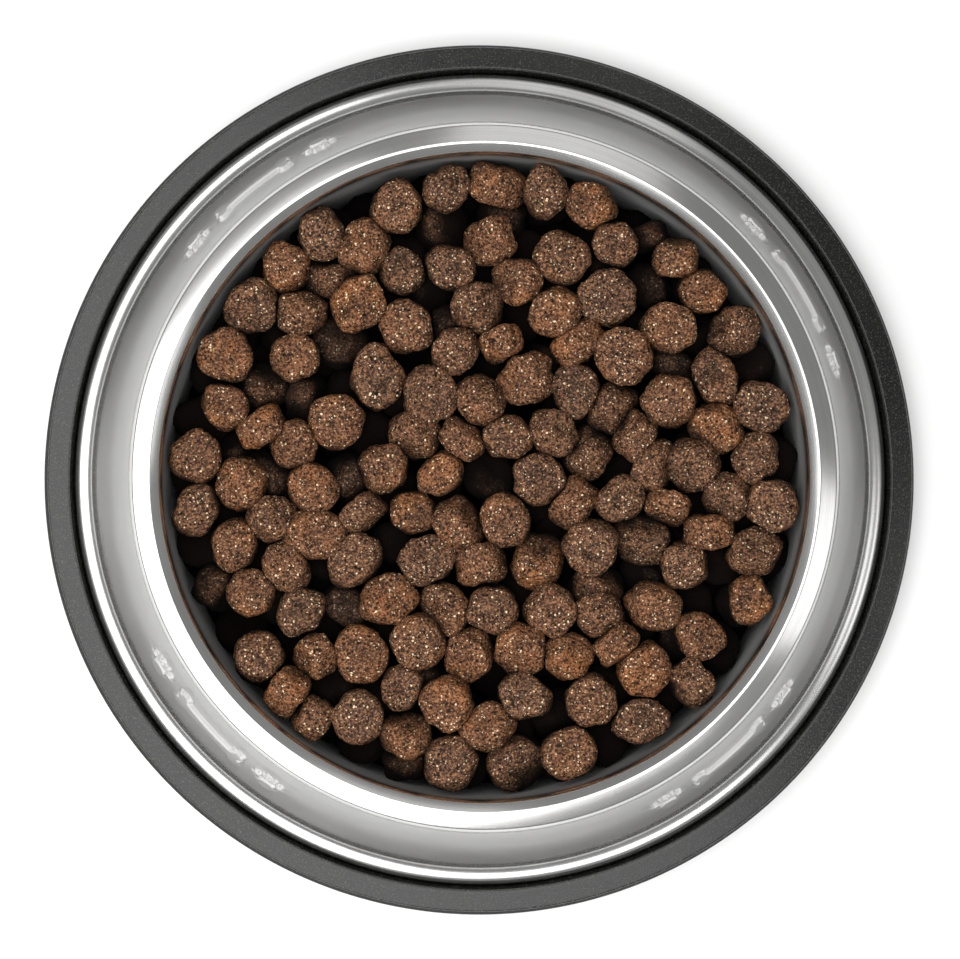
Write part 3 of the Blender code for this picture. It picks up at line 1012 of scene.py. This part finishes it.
@dataclass
class FoodPiece:
    """One food piece that has its place."""

    kind: int
    matrix: Matrix
    rank: Rank


@dataclass
class DrawnPiece:
    """One food piece that has no place yet: its shape, its faces' planes and its shadow's radius."""

    kind: int
    shape: Matrix
    planes: Planes
    shadow: float

    def laid(self, x: float, y: float, height: float, rank: Rank) -> FoodPiece:
        """The piece with its centre at a place."""
        return FoodPiece(self.kind, Matrix.Translation((x, y, height)) @ self.shape.to_4x4(), rank)


@dataclass
class FoodLayout:
    """Where the food pieces lie: the same packing as the part's solids, from the same values.

    The packing drops plain hexagonal forms of the pieces into a grid of heights. Then the pieces that aren't
    loose settle, which the solids don't do.
    """

    bowl: BowlSizes

    # The plain form of a piece, and how much the pieces differ.
    radius: float = 0.0076
    thickness: float = 0.0090
    edge: float = 0.0020
    sides: int = 6
    size_range: Range = (0.88, 1.08)
    oval_range: Range = (0.90, 1.10)
    tapers: tuple[float, ...] = (1.0, 0.9, 0.8)
    taper_share: float = 0.4
    flat_share: float = 0.60
    flat_tilt: float = math.radians(17)
    steep_tilts: Range = (math.radians(28), math.radians(90))

    # How full the bowl is.
    drop: float = 0.0055
    crown: float = 0.0008
    depth: float = 0.0300
    filler_drop: float = 0.0120
    heaped_depth: Range = (0.0, 0.003)
    buried_depth: Range = (0.003, 0.005)
    under_depth: Range = (0.0065, 0.0115)
    loose_count: int = 57
    layer_cover: float = 1.02
    under_cover: float = 1.05

    # The room between the pieces, and between them and the wall.
    gap: float = 0.0003
    sink: float = 0.0007
    wall_gap: float = 0.0005
    wall_press: float = 0.0025

    # The packing.
    seed: int = 41
    under_seed: int = 7
    cell: float = 0.0004
    pushes: int = 80
    push_share: float = 0.4
    roll_steps: tuple[int, ...] = (-3, -1, 0, 1, 3)
    roll_reach: int = 12
    round_to: int = 6
    upright_limit: float = 1e-6

    # The settling. The squareness is the power of the pieces' rounded outline.
    squareness: float = 4.0
    settle_turns: int = 160
    settle_share: float = 0.7
    settle_floor: float = 0.0340
    rise_turns: int = 110
    rise: float = 0.00012

    # How open a point lies to the light, which the food's finish paints as shade.
    blur: int = 9
    wall_dip: float = 0.0075
    open_range: Range = (-0.0030, 0.0008)
    depth_range: Range = (-0.0096, -0.0014)

    def __post_init__(self) -> None:
        """Makes the random numbers, the unit shapes and the grids of heights."""
        self.rng = np.random.default_rng(self.seed)
        self.meshes = [self.unit_mesh(taper) for taper in self.tapers]
        moves = [(x, y) for x in self.roll_steps for y in self.roll_steps if x or y]
        self.moves = np.array([(0, 0)] + moves)
        across = math.hypot(self.radius * self.oval_range[1], self.thickness / 2)
        self.span = math.ceil((across * self.size_range[1] + 2 * self.gap) / self.cell)
        self.line, self.wall = self.wall_heights()
        self.surface = self.wall.copy()

    def unit_mesh(self, taper: float) -> bpy.types.Mesh:
        """Makes the plain solid form of a food piece, whose faces give its upper and lower surfaces.

        Args:
            taper: how much narrower the upper face is.

        Returns:
            The mesh.
        """
        work = bmesh.new()
        bmesh.ops.create_cone(
            work,
            cap_ends=True,
            segments=self.sides,
            radius1=self.radius,
            radius2=self.radius * taper,
            depth=self.thickness,
        )
        rim = [e for e in work.edges if abs(e.verts[0].co.z - e.verts[1].co.z) < self.edge]
        bmesh.ops.bevel(work, geom=rim, offset=self.edge, segments=1, affect="EDGES")
        mesh = bpy.data.meshes.new("plain_food_piece")
        work.to_mesh(mesh)
        work.free()
        return mesh

    def planes(self, mesh: bpy.types.Mesh, shape: Matrix) -> Planes:
        """Finds where a piece's faces lie after a shape matrix.

        Args:
            mesh: the piece's plain form.
            shape: the shape matrix.

        Returns:
            Each face's outward normal, and its distance from the origin.
        """
        flip = shape.inverted().transposed()
        normals = [(flip @ face.normal).normalized() for face in mesh.polygons]
        reach = [n.dot(shape @ face.center) for n, face in zip(normals, mesh.polygons)]
        return np.array(normals), np.array(reach)

    def top_and_bottom(
        self, normals: np.ndarray, reach: np.ndarray, gap: float = 0.0
    ) -> tuple[np.ndarray, np.ndarray]:
        """Finds the heights of a piece's upper and lower faces over the cells about its centre.

        Args:
            normals: the outward normals of its faces.
            reach: the faces' distances from its centre.
            gap: how much the piece is grown.

        Returns:
            The upper heights and the lower heights.
        """
        line = np.arange(-self.span, self.span + 1) * self.cell
        x, y = np.meshgrid(line, line, indexing="ij")
        upright = np.abs(normals[:, 2]) < self.upright_limit
        top = np.full(x.shape, np.inf)
        bottom = np.full(x.shape, -np.inf)
        inside = np.ones(x.shape, bool)
        for (nx, ny, nz), d, wall in zip(normals, reach + gap, upright):
            level = d - nx * x - ny * y
            if wall:
                inside &= level >= 0
            elif nz > 0:
                top = np.minimum(top, level / nz)
            else:
                bottom = np.maximum(bottom, level / nz)
        inside &= top >= bottom
        return np.where(inside, top, -np.inf), np.where(inside, bottom, np.inf)

    def wall_heights(self) -> tuple[np.ndarray, np.ndarray]:
        """Measures the bowl's wall over the grid.

        Returns:
            The grid's cell places along one axis, and the heights of the wall and the floor over it.
        """
        b = self.bowl
        count = math.ceil(2 * b.mouth_radius / self.cell / 2) * 2 + 1 + 2 * self.span
        line = (np.arange(count) - count // 2) * self.cell
        x, y = np.meshgrid(line, line, indexing="ij")
        top_radius, top_height = b.wall_top
        from_wall = np.hypot(x, y) + self.wall_gap - top_radius
        wall = top_height + from_wall / math.tan(b.wall_draft)
        beyond = b.height * 4
        wall = np.where(from_wall > 0, beyond, wall)
        return line, np.maximum(wall, b.height - self.drop - self.depth)

    @property
    def food_height(self) -> float:
        """Where the food's top would be if it were level."""
        return self.bowl.height - self.drop

    @property
    def filler_height(self) -> float:
        """Where the heap that all the pieces lie in has its flat top."""
        return self.food_height - self.filler_drop

    def level(self, x: float, y: float) -> float:
        """The height that no food piece rises above."""
        share = math.hypot(x, y) / self.bowl.mouth_radius
        return self.food_height - self.crown * (share**2)

    def random_shape(self, rng: np.random.Generator) -> Matrix:
        """Draws a food piece's size, its oval outline and the way it lies.

        Args:
            rng: random numbers.

        Returns:
            The shape matrix.
        """
        size = rng.uniform(*self.size_range)
        oval = rng.uniform(*self.oval_range)
        thick = rng.uniform(*self.oval_range)
        flat = rng.random() < self.flat_share
        tilt = abs(rng.normal(0, self.flat_tilt)) if flat else rng.uniform(*self.steep_tilts)
        lean = Matrix.Rotation(rng.uniform(0, math.tau), 3, "Z") @ Matrix.Rotation(tilt, 3, "X")
        spin = Matrix.Rotation(rng.uniform(0, math.tau), 3, "Z")
        return lean @ spin @ Matrix.Diagonal((size * oval, size / oval, size * thick))

    def layer(self, rng: np.random.Generator, reach: float, cover: float) -> list[DrawnPiece]:
        """Draws enough pieces to cover a share of a disc.

        Args:
            rng: random numbers.
            reach: the disc's radius.
            cover: the share, more than 1 where the pieces overlap.

        Returns:
            The pieces.
        """
        made = []
        covered = 0.0
        while covered < cover * math.pi * reach**2:
            kind = int(rng.integers(len(self.meshes)))
            shape = self.random_shape(rng)
            planes = self.planes(self.meshes[kind], shape)
            area = np.isfinite(self.top_and_bottom(*planes)[0]).sum() * self.cell**2
            covered += area
            made.append(DrawnPiece(kind, shape, planes, math.sqrt(area / math.pi)))
        return made

    def piece_height(self, piece: DrawnPiece) -> float:
        """How tall a piece stands."""
        top, bottom = self.top_and_bottom(*piece.planes)
        return top.max() - bottom.min()

    def spread_out(self, rng: np.random.Generator, reach: float, radii: np.ndarray) -> np.ndarray:
        """Scatters circles on a disc, and pushes them apart until they hardly overlap.

        Args:
            rng: random numbers.
            reach: the disc's radius.
            radii: the circles' radii.

        Returns:
            The circles' places.
        """
        turn = rng.uniform(0, math.tau, len(radii))
        out = reach * np.sqrt(rng.random(len(radii)))
        places = np.stack((out * np.cos(turn), out * np.sin(turn)), axis=1)
        for _ in range(self.pushes):
            apart = places[:, None] - places[None]
            distance = np.hypot(apart[..., 0], apart[..., 1]) + np.eye(len(radii))
            overlap = np.clip(radii[:, None] + radii[None] - distance, 0, None)
            places += self.push_share * (apart * (overlap / distance)[..., None]).sum(axis=1)
            out = np.hypot(places[:, 0], places[:, 1])
            places *= np.minimum(1, (reach - radii) / np.maximum(out, radii))[:, None]
        return places

    def roll_down(self, grid: np.ndarray, bottom: np.ndarray, start: np.ndarray) -> tuple[np.ndarray, float]:
        """Rolls a piece a short way to where it rests lowest.

        Args:
            grid: the grid of heights that it rolls on.
            bottom: the heights of its lower faces.
            start: the corner of its window at the start.

        Returns:
            The corner of its window there, and its centre's height.
        """
        windows = np.lib.stride_tricks.sliding_window_view(grid, bottom.shape)
        here = start
        while True:
            tries = np.clip(here + self.moves, start - self.roll_reach, start + self.roll_reach)
            levels = np.max(windows[tries[:, 0], tries[:, 1]] - bottom, axis=(1, 2))
            best = int(np.argmin(np.round(levels, self.round_to)))
            if best == 0:
                return here, levels[0]
            here = tries[best]

    def start(self, place: np.ndarray, top: np.ndarray) -> np.ndarray:
        """The grid corner of a piece's window when its centre is at a place."""
        return np.rint(place / self.cell).astype(int) + len(self.line) // 2 - top.shape[0] // 2

    def centre(self, corner: np.ndarray, top: np.ndarray) -> tuple[float, float]:
        """The place of a piece's centre when its window has a corner."""
        x, y = self.line[corner + top.shape[0] // 2]
        return x, y

    @staticmethod
    def add(grid: np.ndarray, corner: np.ndarray, top: np.ndarray, height: float) -> None:
        """Raises a grid to a piece's upper faces.

        Args:
            grid: the grid of heights, changed in place.
            corner: the corner of the piece's window.
            top: the heights of its upper faces about its centre.
            height: its centre's height.
        """
        ix, iy = corner
        patch = grid[ix : ix + top.shape[0], iy : iy + top.shape[1]]
        np.maximum(patch, height + top, out=patch)

    def place_loose(self, layer: list[DrawnPiece], places: np.ndarray) -> tuple[list[FoodPiece], np.ndarray]:
        """Lays the loose pieces on what is in the bowl.

        Args:
            layer: the loose pieces.
            places: where each is let down.

        Returns:
            The pieces that found room, and the grid of heights with them in it.
        """
        made = []
        base = np.maximum(self.wall, self.filler_height)
        loose = self.wall.copy()
        for piece, place in zip(layer, places):
            top, bottom = self.top_and_bottom(*piece.planes, self.gap + self.cell / 2)
            corner, level = self.roll_down(base, bottom, self.start(place, top))
            x, y = self.centre(corner, top)
            if level + top.max() > self.level(x, y):
                continue
            self.add(base, corner, top, level)
            self.add(loose, corner, top, level + self.sink)
            made.append(piece.laid(x, y, level, Rank.LOOSE))
        return made, loose

    def place_heaped(self, loose: np.ndarray, layer: list[DrawnPiece], places: np.ndarray) -> list[FoodPiece]:
        """Sets the heap's upper pieces between the loose ones.

        Args:
            loose: the grid of heights with the loose pieces in it.
            layer: the heap's pieces.
            places: where each is let down.

        Returns:
            The pieces that found room.
        """
        made = []
        heap = loose.copy()
        for piece, place in zip(layer, places):
            top, bottom = self.top_and_bottom(*piece.planes)
            rooted = self.filler_height - self.sink - bottom.min()
            for grid, depth in ((heap, self.heaped_depth), (loose, self.buried_depth)):
                corner, level = self.roll_down(grid, bottom, self.start(place, top))
                x, y = self.centre(corner, top)
                ceiling = self.level(x, y) - top.max()
                height = max(level - self.sink, min(ceiling, rooted) - self.rng.uniform(*depth))
                if height <= ceiling:
                    self.add(heap, corner, top, height)
                    made.append(piece.laid(x, y, height, Rank.HEAPED))
                    break
        return made

    def place_under(self) -> list[FoodPiece]:
        """Lays the next pieces down, which show between the upper ones.

        Returns:
            The pieces.
        """
        rng = np.random.default_rng(self.under_seed)
        reach = self.bowl.wall_radius(self.filler_height) - self.wall_gap
        layer = self.layer(rng, reach, self.under_cover)
        places = self.spread_out(rng, reach, np.array([piece.shadow for piece in layer]))
        made = []
        for piece, (x, y) in zip(layer, places):
            top, _ = self.top_and_bottom(*piece.planes)
            height = self.level(x, y) - rng.uniform(*self.under_depth) - top.max()
            made.append(piece.laid(x, y, height, Rank.UNDER))
        return made

    def reach_along(self, slant: np.ndarray, wide: np.ndarray, thick: np.ndarray) -> np.ndarray:
        """Measures how far pieces reach from their centres along some directions.

        Args:
            slant: the cosine of the angle between each direction and the piece's axis.
            wide: the pieces' radii.
            thick: half their thicknesses.

        Returns:
            The distances to the pieces' surfaces.
        """
        power = self.squareness
        across = np.sqrt(np.clip(1 - slant**2, 0, 1))
        return ((across / wide) ** power + (np.abs(slant) / thick) ** power) ** (-1 / power)

    def half_extent(self, slant: np.ndarray, wide: np.ndarray, thick: np.ndarray) -> np.ndarray:
        """Measures half the pieces' extents between two flat jaws.

        Args:
            slant: the cosine of the angle between the jaws' normal and each piece's axis.
            wide: the pieces' radii.
            thick: half their thicknesses.

        Returns:
            The distances from the centres to a jaw.
        """
        power = self.squareness / (self.squareness - 1)
        across = np.sqrt(np.clip(1 - slant**2, 0, 1))
        return ((across * wide) ** power + (np.abs(slant) * thick) ** power) ** (1 / power)

    def settle(self, pieces: list[FoodPiece], radius: float, half_thickness: float) -> None:
        """Moves the pieces that aren't loose until each lies clear of its neighbours and the bowl.

        Args:
            pieces: all the pieces, moved in place.
            radius: a piece's radius before its own scale.
            half_thickness: half its thickness before its own scale.
        """
        matrices = np.array([piece.matrix for piece in pieces])
        scale = np.linalg.norm(matrices[:, :3, :3], axis=1)
        narrow = 1 - (1 - np.array([self.tapers[piece.kind] for piece in pieces])) * self.taper_share
        wide = radius * np.sqrt(scale[:, 0] * scale[:, 1]) * narrow
        thick = half_thickness * scale[:, 2]
        axes = matrices[:, :3, 2] / scale[:, 2:]
        centres = matrices[:, :3, 3].copy()
        free = np.array([piece.rank is not Rank.LOOSE for piece in pieces])
        share = np.where(free[None], 0.5, 1.0) * free[:, None] * self.settle_share
        upward = self.half_extent(axes[:, 2], wide, thick)
        for turn in range(self.settle_turns):
            apart = centres[:, None] - centres[None]
            distance = np.linalg.norm(apart, axis=2) + np.eye(len(pieces))
            towards = apart / distance[..., None]
            slant = np.einsum("ijk,ik->ij", towards, axes)
            reach = self.reach_along(slant, wide[:, None], thick[:, None])
            overlap = np.clip(reach + reach.T - distance, 0, None)
            np.fill_diagonal(overlap, 0)
            centres += (towards * (overlap * share)[..., None]).sum(axis=1)
            centres[free, 2] += self.rise if turn < self.rise_turns else 0.0
            self.keep_inside(centres, axes, wide, thick, upward, free)
        for piece, centre in zip(pieces, centres):
            piece.matrix.translation = Vector(centre)

    def keep_inside(
        self,
        centres: np.ndarray,
        axes: np.ndarray,
        wide: np.ndarray,
        thick: np.ndarray,
        upward: np.ndarray,
        free: np.ndarray,
    ) -> None:
        """Moves pieces in from the wall, down from the food's level and up from below.

        Args:
            centres: the pieces' centres, changed in place.
            axes: their axes.
            wide: their radii.
            thick: half their thicknesses.
            upward: half their heights.
            free: which of them may move.
        """
        out = np.hypot(centres[:, 0], centres[:, 1])
        slant = (axes[:, :2] * centres[:, :2]).sum(axis=1) / out
        limit = self.bowl.wall_radius(centres[:, 2]) - self.wall_gap - self.half_extent(slant, wide, thick)
        inwards = np.where(free, np.minimum(1, limit / out), 1)
        centres[:, :2] *= inwards[:, None]
        share = out / self.bowl.mouth_radius
        ceiling = self.food_height - self.crown * share**2 - upward
        height = np.clip(centres[:, 2], self.settle_floor + upward, ceiling)
        centres[:, 2] = np.where(free, height, centres[:, 2])

    def cover(self, pieces: list[FoodPiece]) -> None:
        """Sets the grid of heights to the upper faces of the pieces as they lie.

        Args:
            pieces: the pieces.
        """
        self.surface = self.wall.copy()
        for piece in pieces:
            planes = self.planes(self.meshes[piece.kind], piece.matrix.to_3x3())
            top, _ = self.top_and_bottom(*planes)
            x, y, z = piece.matrix.translation
            self.add(self.surface, self.start(np.array((x, y)), top), top, z)

    def openness(self, points: np.ndarray) -> np.ndarray:
        """Measures how open points lie to the light, from their heights against the mean surface round them.

        Args:
            points: (x, y, z) rows.

        Returns:
            1 for points in the open and 0 deep in a gap.
        """
        level = self.food_height
        around = np.where(self.surface > level, level - self.wall_dip, self.surface)
        kernel = np.hanning(2 * self.blur + 3)[1:-1]
        kernel /= kernel.sum()
        for axis in (0, 1):
            around = np.apply_along_axis(np.convolve, axis, around, kernel, mode="same")
        cells = np.rint(points[:, :2] / self.cell).astype(int) + len(self.line) // 2
        cells = np.clip(cells, 0, len(self.line) - 1)
        above = points[:, 2] - around[cells[:, 0], cells[:, 1]]
        below = points[:, 2] - level
        shares = (above, self.open_range), (below, self.depth_range)
        first, second = (np.clip((height - low) / (high - low), 0, 1) for height, (low, high) in shares)
        return first * second

    def pieces(self, radius: float, half_thickness: float) -> list[FoodPiece]:
        """Packs and settles all the food pieces that show.

        Args:
            radius: a piece's radius as it is modelled.
            half_thickness: half its thickness as it is modelled.

        Returns:
            The pieces, the loose ones first.
        """
        reach = self.bowl.wall_radius(self.food_height)
        layer = self.layer(self.rng, reach, self.layer_cover)
        layer.sort(key=self.piece_height)
        radii = np.array([piece.shadow for piece in layer])
        places = self.spread_out(self.rng, reach + self.wall_press, radii + self.gap)
        made, loose = self.place_loose(layer[: self.loose_count], places)
        made += self.place_heaped(loose, layer[self.loose_count :], places[self.loose_count :])
        made += self.place_under()
        self.settle(made, radius, half_thickness)
        self.cover(made)
        return made


@dataclass
class Food:
    """The dry food: detailed pieces, and the heap under them, dark with painted shade."""

    bowl: BowlSizes
    layout: FoodLayout
    finish: FoodFinish = field(default_factory=FoodFinish)
    seed: int = 5

    # A piece's form.
    fine_cuts: int = 15
    coarse_cuts: int = 8
    radius: float = 0.0074
    half_thickness: float = 0.0045
    roundness: float = 4.6
    outline_change: float = 0.075
    outline_waves: tuple[int, ...] = (2, 3, 4, 5)
    outline_reach: float = 1.5
    dome_range: Range = (-0.05, 0.10)
    dome_fall: float = 1.6
    lump_size: float = 0.0042
    lump_depth: float = 0.00095
    crust_size: float = 0.0013
    crust_depth: float = 0.00036
    noise_reach: float = 50.0

    # Which pieces share a mesh.
    seen_depth: float = 0.0135
    group_limit: int = 60

    # The heap's core.
    core_gap: float = 0.0006
    core_fillet: float = 0.001
    core_step: float = 0.0022
    core_columns: int = 160
    core_upper: float = 0.0005
    core_lump_size: float = 0.005
    core_lump_depth: float = 0.0015
    core_tone: float = 0.3

    def ball(self, cuts: int) -> tuple[np.ndarray, np.ndarray]:
        """Makes a unit ball from a cube of even faces.

        Args:
            cuts: how many faces a side has.

        Returns:
            The points and the faces.
        """
        work = bmesh.new()
        bmesh.ops.create_cube(work, size=2)
        bmesh.ops.subdivide_edges(work, edges=work.edges, cuts=cuts - 1, use_grid_fill=True)
        work.verts.ensure_lookup_table()
        points = np.array([v.co for v in work.verts])
        points = np.tan(points * math.pi / 4)
        points /= np.linalg.norm(points, axis=1)[:, None]
        faces = np.array([[v.index for v in f.verts] for f in work.faces])
        work.free()
        return points, faces

    def shaped(self, ball: np.ndarray, rng: np.random.Generator, taper: float) -> np.ndarray:
        """Swells a unit ball to an irregular short disc with a lumpy crust.

        Args:
            ball: the unit ball's points.
            rng: random numbers for this piece.
            taper: how much narrower the upper face is.

        Returns:
            The piece's points, in metres about its centre.
        """
        flat = np.hypot(ball[:, 0], ball[:, 1])
        power = self.roundness
        swell = (flat**power + np.abs(ball[:, 2]) ** power) ** (-1 / power)
        points = ball * swell[:, None]
        turn = np.arctan2(ball[:, 1], ball[:, 0])
        change = np.zeros(len(ball))
        for waves in self.outline_waves:
            size = rng.normal(0, self.outline_change / waves)
            change += size * np.cos(waves * turn + rng.uniform(0, math.tau))
        narrow = 1 - (1 - taper) * self.layout.taper_share * (points[:, 2] + 1)
        width = (1 + change * np.clip(flat * self.outline_reach, 0, 1)) * narrow
        points[:, :2] *= (width * self.radius)[:, None]
        upper, lower = rng.uniform(*self.dome_range, 2)
        lift = 1 + np.where(points[:, 2] > 0, upper, lower) * (1 - self.dome_fall * flat**2)
        points[:, 2] *= self.half_thickness * lift
        shift = rng.uniform(-self.noise_reach, self.noise_reach, 3)
        lumps = np.array([noise.noise(Vector(p / self.lump_size + shift)) for p in points])
        crust = np.array([noise.noise(Vector(p / self.crust_size + shift)) for p in points])
        return points + ball * (self.lump_depth * lumps + self.crust_depth * crust)[:, None]

    def mesh_of(
        self, name: str, pieces: list[FoodPiece], cuts: int, rng: np.random.Generator
    ) -> bpy.types.Mesh:
        """Makes one mesh of some food pieces, each with a tone of its own.

        Args:
            name: the mesh's name.
            pieces: the pieces in it.
            cuts: how finely each is divided.
            rng: random numbers.

        Returns:
            The mesh.
        """
        ball, ball_faces = self.ball(cuts)
        points, faces, tones = [], [], []
        for i, piece in enumerate(pieces):
            local = self.shaped(ball, rng, self.layout.tapers[piece.kind])
            matrix = np.array(piece.matrix)
            points.append(local @ matrix[:3, :3].T + matrix[:3, 3])
            faces.append(ball_faces + i * len(ball))
            tones.append(np.full(len(ball), rng.uniform(0, 1)))
        mesh = bpy.data.meshes.new(name)
        mesh.from_pydata(np.concatenate(points).tolist(), [], np.concatenate(faces).tolist())
        self.mark(mesh, np.concatenate(tones))
        mesh.shade_smooth()
        return mesh

    def mark(self, mesh: bpy.types.Mesh, tones: np.ndarray) -> None:
        """Stores each point's tone and how open it lies, which the finish paints as shade.

        Args:
            mesh: the mesh that they are stored in.
            tones: the points' tones, from 0 to 1.
        """
        flat = np.empty(len(mesh.vertices) * 3)
        mesh.vertices.foreach_get("co", flat)
        shade = self.layout.openness(flat.reshape(-1, 3))
        for name, values in ((self.finish.tone_attribute, tones), (self.finish.painted_shade_attribute, shade)):
            mesh.attributes.new(name, "FLOAT", "POINT").data.foreach_set("value", values)

    def heap_core(self) -> bpy.types.Mesh:
        """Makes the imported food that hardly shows, as a crumbled body inside the bowl.

        Returns:
            The mesh.
        """
        b = self.bowl
        top = self.layout.settle_floor
        floor = b.floor_height + self.layout.gap
        corners = [
            (0.0, top, 0.0),
            (b.wall_radius(top) - self.core_gap, top, self.core_fillet),
            (b.wall_radius(floor) - self.core_gap, floor, b.floor_fillet),
            (0.0, floor, 0.0),
        ]
        outline = np.array(Shape.rounded(corners, self.core_step))
        angles = np.linspace(0, math.tau, self.core_columns, endpoint=False)
        grid, faces = Shape.revolve(outline, angles, closed=False)
        flat = grid.reshape(-1, 3)
        upper = flat[:, 2] > top - self.core_upper
        lumps = np.array([noise.noise(Vector(p / self.core_lump_size)) for p in flat])
        flat[:, 2] += np.where(upper, lumps * self.core_lump_depth, 0)
        mesh = Shape.mesh("heap_core", flat, faces)
        self.mark(mesh, np.full(len(mesh.vertices), self.core_tone))
        return mesh

    def build(self) -> list[bpy.types.Object]:
        """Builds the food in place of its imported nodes.

        Returns:
            The pieces: the loose ones, the heaped ones, those under them and the heap's core.
        """
        material = self.finish.build()
        pieces = self.layout.pieces(self.radius, self.half_thickness)
        rng = np.random.default_rng(self.seed)
        made = []
        loose = [p for p in pieces if p.rank is Rank.LOOSE]
        for i, piece in enumerate(loose, 1):
            mesh = self.mesh_of(f"loose_piece_{i:02d}", [piece], self.fine_cuts, rng)
            made.append(Shape.piece(mesh, material, Slot.FOOD, f"kibble_{i:02d}"))
        seen = self.layout.food_height - self.seen_depth
        rest = [p for p in pieces if p.rank is not Rank.LOOSE]
        heaped = [p for p in rest if p.matrix.translation.z >= seen]
        for i in range(0, len(heaped), self.group_limit):
            group = heaped[i : i + self.group_limit]
            mesh = self.mesh_of(f"heaped_pieces_{i // self.group_limit + 1}", group, self.fine_cuts, rng)
            made.append(Shape.piece(mesh, material, Slot.FOOD))
        under = [p for p in rest if p.matrix.translation.z < seen]
        mesh = self.mesh_of("under_pieces", under, self.coarse_cuts, rng)
        made.append(Shape.piece(mesh, material, Slot.FOOD))
        made.append(Shape.piece(self.heap_core(), material, Slot.FOOD, "kibble_heap"))
        return made


@dataclass
class SoftBox:
    """A rectangular studio light, with its direction in degrees and its sizes in metres.

    It faces the part, or straight down if it is level.
    """

    name: str
    azimuth: float
    off_zenith: float
    distance: float
    width: float
    length: float
    power: float
    level: bool = False

    def build(self) -> None:
        """Hangs the light up."""
        light = bpy.data.lights.new(self.name, "AREA")
        light.shape = "RECTANGLE"
        light.size = self.width
        light.size_y = self.length
        light.energy = self.power
        made = bpy.data.objects.new(self.name, light)
        bpy.context.scene.collection.objects.link(made)
        turn = math.radians(self.azimuth)
        tilt = math.radians(self.off_zenith)
        out = Vector((math.sin(tilt) * math.cos(turn), math.sin(tilt) * math.sin(turn), math.cos(tilt)))
        made.location = out * self.distance
        facing = Matrix.Rotation(turn, 4, "Z")
        if not self.level:
            facing = facing @ Matrix.Rotation(tilt, 4, "Y")
        made.rotation_euler = facing.to_euler()


@dataclass
class Studio:
    """The floor, the lights and the camera."""

    floor_size: float = 8.0
    floor_parts: int = 8
    sky: float = 0.32
    camera_place: tuple[float, float, float] = (-0.022, -0.011, 1.1)
    frame_width: float = 0.2762
    sensor: float = 36.0
    floor: FloorFinish = field(default_factory=FloorFinish)
    lights: tuple[SoftBox, ...] = (
        SoftBox("wide_panel", 212, 34.3, distance=1.525, width=2.25, length=2.7, power=51, level=True),
        SoftBox("right_panel", -14, 53, distance=1.6, width=0.6, length=0.6, power=1.7),
        SoftBox("back_panel", 76, 50, distance=1.6, width=0.8, length=0.8, power=1.2),
    )

    def build(self) -> None:
        """Sets up the studio."""
        self.lay_floor()
        world = bpy.data.worlds.new("studio")
        world.use_nodes = True
        background = world.node_tree.nodes["Background"].inputs
        background["Color"].default_value = (1, 1, 1, 1)
        background["Strength"].default_value = self.sky
        bpy.context.scene.world = world
        for light in self.lights:
            light.build()
        self.place_camera()
        bpy.context.scene.view_settings.view_transform = "Standard"

    def lay_floor(self) -> None:
        """Lays the floor, which isn't part of the object."""
        work = bmesh.new()
        parts = self.floor_parts
        bmesh.ops.create_grid(work, x_segments=parts, y_segments=parts, size=self.floor_size / 2)
        mesh = bpy.data.meshes.new("studio_floor")
        work.to_mesh(mesh)
        work.free()
        mesh.materials.append(self.floor.build())
        floor = bpy.data.objects.new("studio_floor", mesh)
        bpy.context.scene.collection.objects.link(floor)

    def place_camera(self) -> None:
        """Places the camera straight over the bowl, a little to the left and the front."""
        data = bpy.data.cameras.new("camera")
        data.sensor_width = self.sensor
        place = Vector(self.camera_place)
        data.lens = self.sensor * place.length / self.frame_width
        made = bpy.data.objects.new("camera", data)
        made.location = place
        back = place.normalized()
        right = Vector((0, 1, 0)).cross(back).normalized()
        made.rotation_euler = Matrix((right, back.cross(right), back)).transposed().to_euler()
        bpy.context.scene.collection.objects.link(made)
        bpy.context.scene.camera = made


def main() -> None:
    """Builds each sub-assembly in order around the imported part."""
    logging.basicConfig(level=logging.INFO, format="%(name)s: %(message)s")
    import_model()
    sizes = BowlSizes()
    Studio().build()
    for assembly in (SteelBowl(sizes), RubberRing(sizes), Food(sizes, FoodLayout(sizes))):
        for made in assembly.build():
            LOG.info("%s: %d faces", made.name, len(made.data.polygons))


if __name__ == "__main__":
    main()
